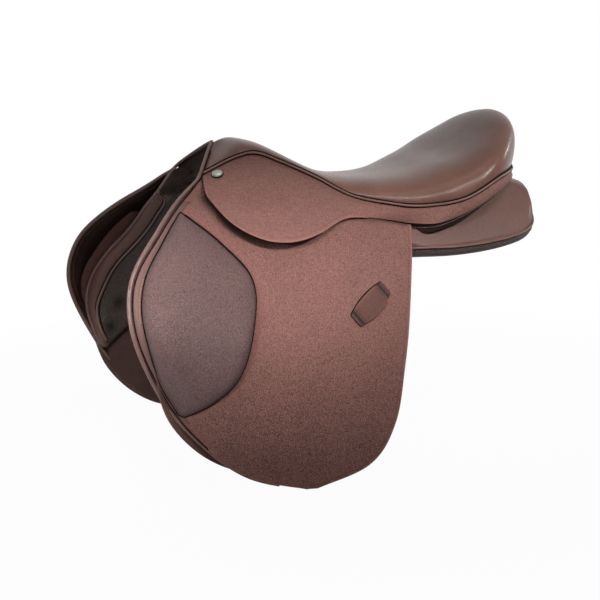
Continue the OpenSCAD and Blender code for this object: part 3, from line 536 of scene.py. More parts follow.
def join(*geos):
    v, f, caps, o = [], [], [], 0
    for g in geos:
        v.append(g["v"])
        f.append(g["f"] + o)
        caps += [[i + o for i in c] for c in g["caps"]]
        o += len(g["v"])
    return dict(v=np.concatenate(v), f=np.concatenate(f), caps=caps)


# Objects
def edge_keys(edges, n):
    e = np.sort(edges, 1).astype(np.int64)
    return e[:, 0] * n + e[:, 1]


def mark(mesh, name, kind, where, values):
    mesh.attributes.new(name, kind, where).data.foreach_set("value", values)


def make(name, geo, materials, body, nodes=(), mirror=1.0, bevel=0.0):
    v = geo["v"] * [1, mirror, 1] * MM
    n = len(v)
    faces = [list(map(int, f)) for f in [*geo["f"], *geo.get("caps", [])]]
    mesh = bpy.data.meshes.new(name)
    mesh.from_pydata(v.tolist(), [], faces)
    if "m" in geo:
        index = np.zeros(len(faces), np.int32)
        index[:len(geo["m"])] = geo["m"]
        mesh.polygons.foreach_set("material_index", index)
    bm = bmesh.new()
    bm.from_mesh(mesh)
    bmesh.ops.recalc_face_normals(bm, faces=bm.faces)
    bm.to_mesh(mesh)
    bm.free()
    for key in ("wear", "crease", "coarse"):
        if key in geo:
            mark(mesh, key, "FLOAT", "POINT", geo[key].astype(np.float32))
    mesh.polygons.foreach_set("use_smooth", np.ones(len(mesh.polygons), bool))
    obj = bpy.data.objects.new(name, mesh)
    bpy.context.scene.collection.objects.link(obj)
    for m in materials if isinstance(materials, list) else [materials]:
        mesh.materials.append(m)
    ends = np.empty(len(mesh.edges) * 2, np.int32)
    mesh.edges.foreach_get("vertices", ends)
    keys = edge_keys(ends.reshape(-1, 2), n)
    sharp = np.isin(keys, edge_keys(geo["sharp"], n)) if "sharp" in geo else np.zeros(len(keys), bool)
    if bevel:
        rounded = np.isin(keys, edge_keys(geo["bevel"], n)) & ~sharp
        mark(mesh, "bevel_weight_edge", "FLOAT", "EDGE", rounded.astype(np.float32))
        mod = obj.modifiers.new("Edge", "BEVEL")
        mod.limit_method = "WEIGHT"
        mod.width = bevel * MM
        mod.segments = 3
        mod.profile = 0.6
        obj.modifiers.new("Normals", "WEIGHTED_NORMAL").keep_sharp = True
    if "sharp" in geo:
        mark(mesh, "sharp_edge", "BOOLEAN", "EDGE", sharp)
    if nodes:
        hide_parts(*nodes)
    if body:
        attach(obj, body)
    return obj


def pair(name, geo, materials, body, nodes=(), bevel=0.0):
    made = []
    for side, k in SIDES:
        at = body if body in (None, "saddle") else side + "_" + body
        o = make(name + "_" + side, geo, materials, at, [n + "_" + side for n in nodes], k, bevel)
        made.append(o)
    return made


# Materials
def linear(rgb):
    c = np.array(rgb, float) / 255
    return tuple(np.where(c <= 0.04045, c / 12.92, ((c + 0.055) / 1.055) ** 2.4)) + (1.0,)


def times(colour, k):
    return tuple(min(c * k, 1) for c in colour[:3]) + (1.0,)


class Nodes:
    def __init__(self, owner):
        owner.use_nodes = True
        self.owner, self.tree = owner, owner.node_tree

    def add(self, kind, **values):
        n = self.tree.nodes.new("ShaderNode" + kind)
        for k, v in values.items():
            if k.startswith("in_"):
                n.inputs[k[3:].replace("_", " ")].default_value = v
            else:
                setattr(n, k, v)
        return n

    def put(self, socket, x):
        if isinstance(x, (int, float, tuple)):
            socket.default_value = x
        else:
            self.tree.links.new(x, socket)

    def shader(self, name, x):
        self.put(self.tree.nodes["Principled BSDF"].inputs[name], x)

    def texture(self, kind, where, **values):
        n = self.add(kind, **values)
        self.put(n.inputs["Vector"], where)
        return n

    def math(self, op, a, b, clamp=False):
        n = self.add("Math", operation=op, use_clamp=clamp)
        self.put(n.inputs[0], a)
        self.put(n.inputs[1], b)
        return n.outputs[0]

    def blend(self, factor, a, b):
        n = self.add("Mix", data_type="RGBA", blend_type="MIX", clamp_factor=True)
        for i, x in ((0, factor), (6, a), (7, b)):
            self.put(n.inputs[i], x)
        return n.outputs[2]

    def ramp(self, x, lo, hi, a=0.0, b=1.0, kind="LINEAR"):
        n = self.add("MapRange", clamp=True, interpolation_type=kind)
        for i, v in enumerate((x, lo, hi, a, b)):
            self.put(n.inputs[i], v)
        return n.outputs[0]

    def relief(self, height, strength, depth):
        n = self.add("Bump", in_Strength=strength, in_Distance=depth * MM)
        self.put(n.inputs["Height"], height)
        self.shader("Normal", n.outputs[0])

    def mix_shader(self, factor, a, b, output):
        n = self.add("MixShader")
        for socket, x in zip(n.inputs, (factor, a, b)):
            self.put(socket, x)
        self.put(self.tree.nodes[output].inputs["Surface"], n.outputs[0])


# Noise of the leathers, per metre, and how far it shifts the pebbles, in metres
WARP_SCALE, WARP, PORE_SCALE, CLOUD_SCALE, SPECK_SCALE = 260.0, 0.0012, 1500.0, 16.0, 320.0


# Leather: cell is the size of a pebble and depth its height in mm, vary the share of tone that changes, streak and
# grain_to stretch the tone and the pebbles, bite is how dark the creases between pebbles are painted as shade and how
# light the tops as glints
def leather(name, rgb, rough, cell, depth, vary, streak=(1, 1, 1), edge=None, dark=None, gloss=0.15, fine=0.06,
            grain_to=(1, 1, 1), bite=0.6):
    m = Nodes(bpy.data.materials.new(name))
    where = m.add("TexCoord").outputs["Object"]
    # Grain: pebbles between fine creases, warped a little
    shift = m.add("VectorMath", operation="MULTIPLY_ADD")
    for i, x in enumerate((m.texture("TexNoise", where, in_Scale=WARP_SCALE, in_Detail=2.0).outputs["Color"],
                           (WARP, WARP, WARP), where)):
        m.put(shift.inputs[i], x)
    lay_out = m.texture("Mapping", shift.outputs[0], in_Scale=grain_to).outputs[0]
    grain = m.texture("TexVoronoi", lay_out, feature="DISTANCE_TO_EDGE", in_Scale=1000.0 / cell).outputs["Distance"]
    crease = m.ramp(grain, 0.0, 0.22)
    pores = m.texture("TexNoise", where, in_Scale=PORE_SCALE, in_Detail=3.0).outputs["Fac"]
    # Tone: broad clouds, streaks along the hide and fine speckle
    stretch = m.texture("Mapping", where, in_Scale=streak).outputs[0]
    cloud = m.texture("TexNoise", stretch, in_Scale=CLOUD_SCALE, in_Detail=5.0, in_Roughness=0.62).outputs["Fac"]
    speck = m.texture("TexNoise", stretch, in_Scale=SPECK_SCALE, in_Detail=4.0, in_Roughness=0.7).outputs["Fac"]
    base = linear(rgb)
    low = times(base, 1 - vary)
    tone = m.blend(m.ramp(cloud, 0.32, 0.68), low, times(base, 1 + vary))
    tone = m.blend(m.ramp(speck, 0.38, 0.62, 0.0, fine * 5), tone, times(low, 0.6))
    # Painted shade in the creases between pebbles and painted glints on the pebble tops, both made stronger by a mesh
    # attribute
    coarse = m.math("ADD", m.add("Attribute", attribute_name="coarse").outputs["Fac"], 1.0)
    tone = m.blend(m.math("MULTIPLY", m.ramp(crease, 0.0, 1.0, bite, 0.0), coarse, True), tone, times(base, 0.25))
    tone = m.blend(m.math("MULTIPLY", m.ramp(grain, 0.16, 0.45, 0.0, bite * 0.5), coarse, True), tone, times(base, 1.7))
    # Wear along edges, painted on the mesh, and painted shade in creases, grooves, recesses and under parts, also
    # painted on the mesh
    worn = m.add("Attribute", attribute_name="wear").outputs["Fac"]
    worn = m.math("MULTIPLY", worn, m.ramp(speck, 0.3, 0.6, 0.45, 1.0), True)
    tone = m.blend(worn, tone, linear(edge or tuple(min(c * 1.25 + 14, 255) for c in rgb)))
    fold = m.add("Attribute", attribute_name="crease").outputs["Fac"]
    m.shader("Base Color", m.blend(fold, tone, linear(dark or tuple(c * 0.32 for c in rgb))))
    cloudy = m.ramp(cloud, 0.3, 0.7, rough - 0.05, rough + 0.06)
    m.shader("Roughness", m.math("ADD", cloudy, m.ramp(crease, 0.0, 0.8, 0.12, 0.0)))
    m.shader("Specular IOR Level", gloss)
    m.relief(m.math("ADD", crease, m.math("MULTIPLY", pores, 0.35)), 0.8, depth)
    return m.owner


def metal(name, rgb, rough, scale=(1, 1, 1)):
    m = Nodes(bpy.data.materials.new(name))
    stretch = m.texture("Mapping", m.add("TexCoord").outputs["Object"], in_Scale=scale).outputs[0]
    scratch = m.texture("TexNoise", stretch, in_Scale=600.0, in_Detail=5.0).outputs["Fac"]
    base = linear(rgb)
    m.shader("Base Color", m.blend(m.ramp(scratch, 0.3, 0.7), times(base, 0.8), base))
    m.shader("Roughness", m.ramp(scratch, 0.3, 0.7, rough - 0.07, rough + 0.1))
    m.shader("Metallic", 1.0)
    m.relief(scratch, 0.25, 0.05)
    return m.owner


def fibre(name, rgb, rgb2, rough, scale, stretch=(1, 1, 1), depth=0.3, waves=True):
    m = Nodes(bpy.data.materials.new(name))
    where = m.texture("Mapping", m.add("TexCoord").outputs["Object"], in_Scale=stretch).outputs[0]
    if waves:
        h = m.texture("TexWave", where, wave_type="BANDS", in_Scale=scale, in_Distortion=1.2, in_Detail=2.0)
    else:
        h = m.texture("TexNoise", where, in_Scale=scale, in_Detail=6.0, in_Roughness=0.65)
    h = h.outputs["Fac"]
    m.shader("Base Color", m.blend(m.ramp(h, 0.25, 0.75), linear(rgb), linear(rgb2)))
    m.shader("Roughness", m.ramp(h, 0.0, 1.0, rough + 0.05, rough - 0.05))
    m.relief(h, 0.5, depth)
    return m.owner


SEAT = leather("seat_hide", (112, 77, 66), 0.24, 1.2, 0.03, 0.1, gloss=0.2, bite=0.2)
FLAP = leather("flap_hide", (136, 96, 88), 0.5, 1.8, 0.6, 0.1, (1, 1, 0.4), edge=(146, 98, 88),
               grain_to=(0.7, 1, 1.2), bite=0.62)
SKIRT = leather("skirt_hide", (140, 99, 91), 0.48, 1.6, 0.4, 0.13, (0.2, 1, 1), edge=(154, 108, 98), bite=0.65)
# Inside of the flap: lining leather whose dark colour is partly its own and partly painted shade
FLAP_BACK_SHADE = leather("flap_lining_shade", (52, 36, 32), 0.62, 1.8, 0.2, 0.14, fine=0.1)
STRIP = leather("strip_hide", (88, 64, 59), 0.42, 1.6, 0.12, 0.1, gloss=0.25)
PAD = leather("pad_hide", (106, 79, 76), 0.4, 1.9, 0.7, 0.1, (1, 1, 0.25), gloss=0.35, fine=0.1,
              grain_to=(1.2, 1, 0.5), bite=0.75)
KEEP = leather("keeper_hide", (98, 65, 58), 0.5, 1.0, 0.12, 0.12)
PANEL = leather("panel_hide", (100, 71, 63), 0.34, 1.6, 0.06, 0.12, gloss=0.2, bite=0.35)
LINING = leather("lining_hide", (50, 36, 32), 0.6, 2.2, 0.4, 0.2, fine=0.1)
# Contact hide: its painted shade colour is near black
CONTACT = leather("contact_hide", (66, 52, 45), 0.5, 2.4, 0.7, 0.16, dark=(6, 4, 3), gloss=0.3, fine=0.1, bite=0.8)
SWEAT = leather("sweat_hide", (80, 58, 52), 0.5, 1.3, 0.1, 0.14)
BLOCK = leather("block_hide", (98, 66, 59), 0.48, 1.3, 0.1, 0.12)
STRAP = leather("strap_hide", (96, 62, 55), 0.5, 1.1, 0.1, 0.15, edge=(120, 80, 70))
PIPE = leather("piping_hide", (116, 87, 81), 0.34, 1.2, 0.08, 0.1, gloss=0.35)
SEAT_PIPE = leather("seat_piping", (126, 93, 85), 0.42, 0.9, 0.06, 0.1, gloss=0.25)
# Near-black hide for cords laid in seams, grooves and round raised parts as painted shade
SHADE_CORD = leather("seam_hide", (24, 15, 12), 0.7, 0.9, 0.05, 0.12, gloss=0.05)
THREAD = fibre("thread", (88, 50, 42), (128, 82, 72), 0.6, 700.0, depth=0.1)
THREAD_DARK = fibre("dark_thread", (56, 36, 31), (84, 56, 49), 0.6, 700.0, depth=0.1)
THREAD_PALE = fibre("pale_thread", (150, 122, 112), (190, 162, 150), 0.6, 700.0, depth=0.1)
FOAM = fibre("foam", (196, 180, 132), (214, 200, 154), 0.9, 900.0, waves=False)
WEB = fibre("webbing", (160, 138, 100), (196, 176, 136), 0.85, 420.0, (1, 1.2, 1), 0.5)
WOOD = fibre("tree_wood", (160, 118, 70), (196, 156, 104), 0.55, 30.0, (1, 6, 6), 0.2, waves=False)
STEEL = metal("steel", (176, 178, 180), 0.3, (0.2, 1, 1))
STUD = metal("stud_steel", (150, 152, 144), 0.36)
BRASS = metal("rivet_brass", (186, 150, 92), 0.32)

# Pieces that keep their solid's own mesh
AS_SOLID = dict(tree_shell=WOOD, tree_point=WOOD, head_plate=STEEL, head_screws=STEEL, stirrup_bar=STEEL,
                catch_pin=STEEL, catch=STEEL, bar_rivets=STEEL, stud=STUD, strap_rivets=BRASS)
for name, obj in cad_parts.items():
    mat = AS_SOLID.get(name.removesuffix("_left").removesuffix("_right"))
    if mat:
        obj.data.materials.clear()
        obj.data.materials.append(mat)

# Seat: crowned cushion, leather above, lining and foam below
s = np.linspace(0, 1, 151)[:, None]
r = far_end(45)[None, :]
top = seat_at(s, r)
under = mix(seat_at(s, r, cover_t), tree_at(s, r * 0.98, web_t + 2 * lay + 0.75), soft((s - 0.05) / 0.04)[..., None])
LINED_SHARE = 0.33


# Both halves in one mesh: they share the points on the middle line
def twin(top, under, crease):
    n, m = top.shape[:2]
    o = n * m
    v = np.concatenate([g.reshape(-1, 3) * k for k in (1, MIRROR) for g in (top, under)])
    i, j = np.meshgrid(np.arange(n), np.arange(m), indexing="ij")
    mid = ((j == 0) | (i == n - 1)).reshape(-1)
    back = np.arange(o * 4)
    back[2 * o:3 * o][mid] = np.arange(o)[mid]
    back[3 * o:][mid] = np.arange(o, 2 * o)[mid]
    f = grid_faces(n, m)
    rim = np.concatenate([np.stack([np.arange(m - 1), np.arange(1, m)], -1),
                          np.stack([np.arange(n - 1), np.arange(1, n)], -1) * m + m - 1])
    wall = np.stack([rim[:, 0], rim[:, 1], rim[:, 1] + o, rim[:, 0] + o], -1)
    faces = np.concatenate([f, f + o, wall, f + 2 * o, f + 3 * o, wall + 2 * o])
    below = np.repeat(np.where(np.arange(n - 1) < LINED_SHARE * n, 2, 1), m - 1)
    half = [np.zeros(len(f), int), below, np.zeros(len(wall), int)]
    return dict(v=v, f=back[faces], m=np.concatenate(half * 2), crease=np.tile(crease.reshape(-1), 4))


# Painted shade on the seat's side just above the welt
welt_shade = 0.85 * np.exp(-np.maximum(top[..., 2] - curve(WELT, s[:, 0])[:, None, 2], 0) / 1.8) * (r > 0.6)
seat = make("seat", twin(top, under, welt_shade), [SEAT, FOAM, LINING], "saddle", ("seat_cover", "seat_foam"))

web_s = np.linspace(0.3, 0.9, 40)[:, None]
web_r = np.linspace(-0.64, 0.64, 31)[None, :]
web = [tree_at(web_s, np.abs(web_r), up) * stack(1, np.sign(web_r + 1e-9), 1) for up in (web_t + lay, lay)]
make("webbing", slab(*web), WEB, "saddle", ("seat_webbing",))


# Piping round the seat, between two dark cords that are painted shade in the seam above and below it
def seat_cord(out, up, d, sides=SEAM_SIDES):
    at = np.linspace(0.004, 1, 150)
    w = curve(WELT, at)
    o = unit(stack(w[:, 0] - curve(SPINE, at), w[:, 1]))
    line = stack(w[:, 0] + o[:, 0] * out, w[:, 1] + o[:, 1] * out, w[:, 2] + up)
    line[-1, 1] = 0
    return tube_geo(both_halves(line), d, sides, 3.0)


make("seat_piping", seat_cord(2.1, -0.9, 3.2, PIPE_SIDES), SEAT_PIPE, "saddle", ("seat_welt",))
make("seat_seam_shade", join(seat_cord(1.5, 1.2, 2.4), seat_cord(1.9, -2.9, SEAM_D)), SHADE_CORD, "saddle")

# Skirt with the cantle band in one hide; the lower lobe lifts on the hinge line
SPLIT, N_TOP, N_LOW = 0.47, 18, 18
# Shares of the length where the lobe stands off and where rows are evened out, and how often that is done
LOBE_OFF, LOBE_S0, LOBE_S1, LOBE_FADE = 15.0, 0.05, 0.28, 0.17
EVEN_S, EVEN_FADE, BAND_S, BAND_W = 0.34, 0.12, 0.52, 0.06
DOWN_TURNS, GRID_TURNS, BAND_TURNS = 10, 12, 120
rows = np.concatenate([np.linspace(0, SPLIT, 90), np.linspace(SPLIT, 1, 100)[1:]])
last = int(np.argmin(np.abs(rows - SPLIT)))
h = np.where(rows < SPLIT + 1e-9, hinge_share(rows), 1.0)[:, None]
r_all = np.concatenate([h * np.linspace(0, 1, N_TOP + 1), h + (1 - h) * np.linspace(0, 1, N_LOW + 1)[1:]], 1)
# The free lobe stands off the flap
stand_off = LOBE_OFF * soft(rows / LOBE_S0) * (1 - soft((rows - LOBE_S1) / LOBE_FADE))
flare = stand_off[:, None] * np.clip((r_all - h) / np.maximum(1 - h, 0.05), 0, 1) ** 1.3


def skirt_grid(off):
    g = skirt_at(rows[:, None], r_all, off)
    y = g[..., 1]
    y += flare
    share = (1 - soft((rows - EVEN_S) / EVEN_FADE))[:, None]
    for _ in range(DOWN_TURNS):
        y[:, 1:-1] = mix(y[:, 1:-1], eased(y.T).T, share)
    for _ in range(GRID_TURNS):
        g[1:-1] = eased(g)
    # Behind the lobe the band runs on without a step
    near = bell(rows[1:-1], BAND_S, BAND_W)[:, None]
    for _ in range(BAND_TURNS):
        y[1:-1] += near * (eased(y) - y[1:-1])
    y[-1] = 0
    return g


outer, inner = skirt_grid(0.0), skirt_grid(-skirt_t)


# The band runs round the cantle to the other side
def band_geo():
    n, m = len(rows), N_TOP + 1
    depth = np.broadcast_to(np.linspace(0, 1, m), (n, m))
    wear = np.exp(-(1 - depth) * 11) * soft((rows - 0.48) / 0.06)[:, None] * 0.8
    # Wear along the band's lower edge, and painted shade along its top under the seat's edge
    g = slab(both_halves(outer[:, :m]), both_halves(inner[:, :m]), wear=both_halves(wear, 1),
             crease=both_halves(np.exp(-depth * 26) * 0.5, 1))
    total = 2 * n - 1
    fold = np.stack([np.arange(last), np.arange(last) + 1], -1)
    folds = np.concatenate([fold, total - 1 - fold]) * m + m - 1
    g["sharp"] = np.concatenate([folds, folds + total * m])
    return g


def lobe_geo():
    a, b = outer[:last + 1, N_TOP:], inner[:last + 1, N_TOP:]
    n, m = a.shape[:2]
    flat = a[..., [0, 2]]
    d = distance(flat, spaced(np.concatenate([flat[0], flat[1:, -1]]), 3))
    # Wear along the free edges, and painted shade in the groove of the stitch line inside them
    g = slab(a, b, wear=0.9 * np.exp(-d / 2.6), crease=0.25 * bell(d, 4.2, 0.9))
    fold = np.stack([np.arange(n - 1), np.arange(1, n)], -1) * m
    g["sharp"] = np.concatenate([fold, fold + n * m])
    return g


make("skirt_band", band_geo(), SKIRT, "saddle", ("skirt_top_left", "skirt_top_right", "cantle_band"),
     bevel=0.9)
pair("skirt", lobe_geo(), SKIRT, "skirt", ("skirt",), bevel=0.9)

# A dark ring round the foot of each stud is painted shade where the stud meets the skirt
RING_R, RING_D = 7.3, 1.7
stud_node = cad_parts["stud_left"]
stud = np.array([stud_node.matrix_world @ v.co for v in stud_node.data.vertices]) / MM
stud = (stud.min(0) + stud.max(0)) / 2
row, col = np.unravel_index(np.argmin(np.linalg.norm(outer - stud, axis=-1)), outer.shape[:2])
foot, out = (k[0] for k in on_grid(outer, [row], [col]))
foot = stud - out * np.dot(stud - foot, out)
across = unit(np.cross(out, UP))
turn = np.linspace(0, 2 * np.pi, 49)[:, None]
ring = foot + RING_R * (np.cos(turn) * across + np.sin(turn) * np.cross(out, across)) + out * 0.7
pair("stud_ring", tube_geo(ring, RING_D), SHADE_CORD, "saddle")

# Threads of the skirt: along the free edge, down the front edge, and along the band
EDGE_IN, WELT_IN = 4.2, 7.5
lobe_len = np.linalg.norm(outer[:, -1] - outer[:, N_TOP], axis=-1)
top_len = np.linalg.norm(outer[:, N_TOP] - outer[:, 0], axis=-1)


def at_row(i, values):
    return np.interp(i, np.arange(len(rows)), values)


row_in = EDGE_IN / np.linalg.norm(outer[1, N_TOP] - outer[0, N_TOP])
i_run = np.arange(row_in, np.argmin(lobe_len[:last] > 8) - 1, 0.5)
low_col = N_TOP + N_LOW * np.clip(1 - EDGE_IN / np.maximum(at_row(i_run, lobe_len), 1), 0.4, 1)
down_col = np.arange(N_TOP + 0.3, low_col[0], 0.5)
lobe_i = np.concatenate([np.full(len(down_col), row_in), i_run])
pair("skirt_thread", stitch_on(outer, lobe_i, np.concatenate([down_col, low_col])), THREAD, "skirt")
i_band = np.arange(last + 1, len(rows) - 1.0, 0.5)
i_top = np.arange(4, len(rows) - 1.0, 0.5)
pair("band_thread", join(stitch_on(outer, row_in, np.arange(1.5, N_TOP, 0.4)),
                         stitch_on(outer, i_band, N_TOP * (1 - EDGE_IN / at_row(i_band, top_len))),
                         stitch_on(outer, i_top, N_TOP * WELT_IN / at_row(i_top, top_len))),
     THREAD, "saddle")

# Flap: outer face with sewn lines, lined inside
FLAP_END, SWEAT_END = 0.985, 0.98
NOTCH_Z, NOTCH_X0, NOTCH_X1, NOTCH_DEEP = 57.4, 72, 183, 75
HEAD_N, HEAD_X0, HEAD_X1, HEAD_IN, HEAD_TOP = 7, 196, 219, 7, pommel_h - 43
STRIP_W, STRIP_TOP, STRIP_LOW = 8.6, 88, -175
# The last two give the height and span below which the flap's grain gets stronger painted shade and glints
SEAM_IN, PAD_SEAM_IN, PAD_SEAM_W, GRAIN_GLINT_Z, GRAIN_GLINT_H = 4, 5.5, 3.0, -40, 150


# Rows closer together at the bottom, and the whole outline
def down_rows(end, n, n_low):
    return np.concatenate([np.linspace(0, 0.9, n), np.linspace(0.9, end, n_low)[1:]])


def edge_line(k, end=1):
    return curve(k, np.linspace(0, 1, 160) * end)


def outline(rear, fore, end=1):
    return np.concatenate([edge_line(rear, end), edge_line(fore, end)[::-1]])


q = side_rows(FLAP_REAR, FLAP_FORE, down_rows(FLAP_END, 95, 26), both_ends(90, 1.5))
x, z = q[..., 0], q[..., 1]
notch = (hinge_z(x) - NOTCH_Z) * soft((x - NOTCH_X0) / 9) * (1 - soft((x - NOTCH_X1) / 9))
below = np.maximum(hinge_z(x) - z, 0)
z -= np.maximum(notch, 0) * np.maximum(1 - below / NOTCH_DEEP, 0) ** 2
x_top = x[0]
head_cols = x_top > HEAD_X0 - 1
head = []
for t in np.linspace(1, 0, HEAD_N + 1)[:-1]:
    x_end = mix(HEAD_X, HEAD_X1, t)
    x = np.where(head_cols, HEAD_X0 + (x_top - HEAD_X0) * (x_end - HEAD_X0) / (HEAD_X - HEAD_X0), x_top)
    head.append(stack(x, np.where(head_cols, mix(hinge_z(x), HEAD_TOP, t), hinge_z(x)), -HEAD_IN * t))
head = np.array(head)
off_flap = np.concatenate([head[..., 2], np.zeros(q.shape[:2])])
q = np.concatenate([head[..., :2], q])
x, z = q[..., 0], q[..., 1]
mask = np.ones((q.shape[0] - 1, q.shape[1] - 1), bool)
mask[:HEAD_N, :] = (head_cols[:-1] & head_cols[1:])[None, :]

pad_line = outline(PAD_REAR, PAD_FORE)
pad_ring = smooth_run([*pad_line, pad_line[0]], 1.5, 3)
d_edge = distance(q, outline(FLAP_REAR, FLAP_FORE, FLAP_END)[::2])
d_pad = distance(q, pad_ring[::2])
d_fore = distance(q, edge_line(FLAP_FORE, FLAP_END)[::2])
dent = (-0.35 * bell(d_edge, SEAM_IN, 1.2) + 0.6 * ripple(q, 110, 3) * soft(d_edge / 30) * soft(d_pad / 20)
        + 0.35 * bell(d_pad, PAD_SEAM_IN, PAD_SEAM_W) + 1.3 * bell(d_fore, 4.4, 2.0))
# Painted shadow: the flap is painted dark under the skirt's lobe and close to its edge
lobe_line = curve(SKIRT_EDGE, np.linspace(0, 0.56, 130))
lobe_x, lobe_z = lobe_line[::-1].T
covered = (z > np.interp(x, lobe_x, lobe_z)) & (x < lobe_x.max())
shade = np.where(covered, 1.0, 1 - soft(distance(q, lobe_line) / mix(6.0, 13.0, soft((x - 60) / 130))))
# Painted shade along the front edge beside the pipe, joined with the painted shadow of the lobe
fold = np.maximum(0.8 * bell(d_fore, 0, 1.6) * (z > -150), 0.93 * shade)
# Painted shade also runs along the stitch groove inside the edge
flap_geo = slab(on_flap(q, off_flap + dent), on_flap(q, off_flap - flap_t), mask, lined=True,
                wear=0.8 * np.exp(-d_edge / 2.2) + 0.3 * bell(d_pad, PAD_SEAM_IN, PAD_SEAM_W),
                coarse=0.5 * soft((GRAIN_GLINT_Z - z) / GRAIN_GLINT_H),
                crease=np.maximum(0.25 * bell(d_edge, SEAM_IN, 1.1) * (d_fore > 9), fold))
strip = (d_fore < STRIP_W) & (z < STRIP_TOP) & (z > STRIP_LOW)
strip = strip[:-1, :-1] & strip[1:, 1:]
flap_geo["m"][:mask.sum()][strip[mask]] = 2

# Ends of a short stretch across the hinge line; bend() only bakes each piece's transform into its mesh and leaves these
# ends unused
BEND_HALF, BEND_AT, OUTWARD = 7, 260, np.array([0.0, 0.81, 0.586])
pin, pin_end = (np.array([p[0], side_plain(p[1]) + skirt_out, p[1]]) for p in (HINGE_B, HINGE_A))
axis = unit(pin_end - pin)
down = unit(np.cross(axis, OUTWARD))
down = down if down[2] < 0 else -down
bend_ends = [(pin + axis * BEND_AT + down * d) * MM for d in (-BEND_HALF, BEND_HALF)]


def bend(objs):
    for o, (side, k) in zip(objs, SIDES):
        start, end = (tuple(p * [1, k, 1]) for p in bend_ends)
        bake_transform(o)
        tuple(start)
        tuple(end)


bend(pair("flap", flap_geo, [FLAP, FLAP_BACK_SHADE, STRIP], None, ("flap", "flap_head"), bevel=1.1))

# Threads of the flap: rear and lower edge, front border, two rows round the knee pad, and the border inside
FORE_T = 0.72
middle, pad_middle = np.array([170.0, -90.0]), np.array([262.0, -60.0])
rear_run = spaced(np.concatenate([curve(FLAP_REAR, np.linspace(0.06, FLAP_END, 90)),
                                  curve(FLAP_FORE, np.linspace(FLAP_END, FORE_T, 40))]), THREAD_STEP)
fore_run = spaced(curve(FLAP_FORE, np.linspace(0.03, FORE_T, 100)), THREAD_STEP)
pad_run = spaced(curve(PAD_REAR, np.linspace(0.01, 0.99, 100)), THREAD_STEP)
pad_rows = [sewn(on_flap, inset(pad_run, -d, pad_middle), 0.4, pitch=2.9, length=2.0) for d in (3.6, 7.4)]
pair("flap_thread", join(sewn(on_flap, inset(rear_run, 3.6, middle), 0.1),
                         sewn(on_flap, inset(fore_run, 4.4, middle), 1.4), *pad_rows,
                         sewn(on_flap, inset(fore_run, 5.5, middle), -flap_t, -1.0)),
     THREAD, "flap")


# One pipe from the pommel top down the front of the seat and of the flap, with a dark cord behind it as painted shade
# in the groove
def fore_off(t, d):
    g = unit(curve(FLAP_FORE, t + 0.01) - curve(FLAP_FORE, t - 0.01))
    return curve(FLAP_FORE, t) + np.asarray(d)[..., None] * stack(-g[..., 1], g[..., 0])


PIPE_D, GROOVE_D, GROOVE_N = 5.8, 1.7, 74
over = seat_at(0.0, np.linspace(0, 1, 40)) + [2.2, 0, 0.4]
over[0, 1] = 0
hv = np.array([0.8, 0.6, 0.4, 0.2])
hx = mix(HEAD_X, HEAD_X1, hv)
on_head = on_side(stack(hx + PIPE_D / 2 + 0.6, mix(hinge_z(hx) + lay, HEAD_TOP, hv)), -HEAD_IN * hv - 1.0)
tv = np.linspace(0.02, 0.93, 90)
pipe_out = (PIPE_D / 2 - 0.4) * mix(1, 0.35, soft((tv - 0.55) / 0.3))
down_front = on_side(fore_off(tv, pipe_out), roll_at(curve(FLAP_FORE, tv)[:, 1]) - 1.6)
line = smooth_run([*over, *on_head, *down_front], PIPE_STEP, 8)
thin = mix(1, 0.38, soft((-line[:, 2] - 130) / 90)) * mix(1, 0.8, soft((line[:, 2] - 60) / 50))
pipes = pair("front_pipe", tube_geo(line, PIPE_D * thin, PIPE_SIDES), PIPE, None, ("flap_welt",))
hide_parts("pommel_welt")
bend(pipes)
groove = [*(over[14:] + [-3.0, 1.4, 1.0]), *(on_head + [-3.6, 1.0, 0.6]), *on_flap(fore_off(tv[:GROOVE_N], -0.9), 0.5)]
bend(pair("front_groove_shade", tube_geo(smooth_run(groove, PIPE_STEP, 6), GROOVE_D), SHADE_CORD, None))

# Knee pad: stuffed, steep at its border, with painted shade and a dark cord round it as the shadow of the flap's edge,
# wider at its top, and a ridge down its front
PAD_ROLL, PAD_SINK, PAD_UP, RIDGE_IN, RIDGE_W, RIDGE_DEEP = 24, 1.2, 3.2, 14, 5.0, 2.2
pq = side_rows(PAD_REAR, PAD_FORE, both_ends(72, 1.9), both_ends(60, 1.9))
d_rim = distance(pq, pad_ring[::2])
crown = np.sqrt(np.maximum(1 - (1 - np.clip(d_rim / PAD_ROLL, 0, 1)) ** 2.2, 0))
d_ridge = distance(pq, edge_line(PAD_FORE)[::2])
valley = bell(d_ridge, RIDGE_IN, RIDGE_W) * soft((pq[..., 1] + 150) / 60) * soft((62 - pq[..., 1]) / 30)
pad_up = (pad_h + PAD_UP) * crown + 0.35 * ripple(pq, 60, 5) * crown - RIDGE_DEEP * valley
pad_face = on_flap(pq, pad_up - PAD_SINK)
pair("knee_pad", slab(pad_face, on_flap(pq, -1.6), crease=0.9 * np.exp(-d_rim / 1.5)), PAD, "flap", ("knee_pad",))
crease_d = 2.0 + 1.6 * (1 - soft((np.linspace(0, 1, len(pad_ring)) - 0.1) / 0.14))
pair("pad_crease", tube_geo(on_flap(pad_ring, 0.35), crease_d), SHADE_CORD, "flap")

# Keeper: barrel-shaped patch, sewn across both ends
KEEPER_AT, KEEPER_TAPER, KEEPER_ARCH = np.array([34, -45]), 0.35, 2.6
KEEPER_LONG, KEEPER_WIDE = np.array([-0.78, 0.62]), np.array([0.62, 0.78])
ku = np.linspace(-1, 1, 49)
kj = both_ends(25, 1.4) * 2 - 1


def keeper_half(a):
    return keeper_w / 2 * (1 - KEEPER_TAPER * a ** 2)


def keeper_at(a, b):
    a, b = alike(a, b)
    return KEEPER_AT + a[..., None] * keeper_len / 2 * KEEPER_LONG + (keeper_half(a) * b)[..., None] * KEEPER_WIDE


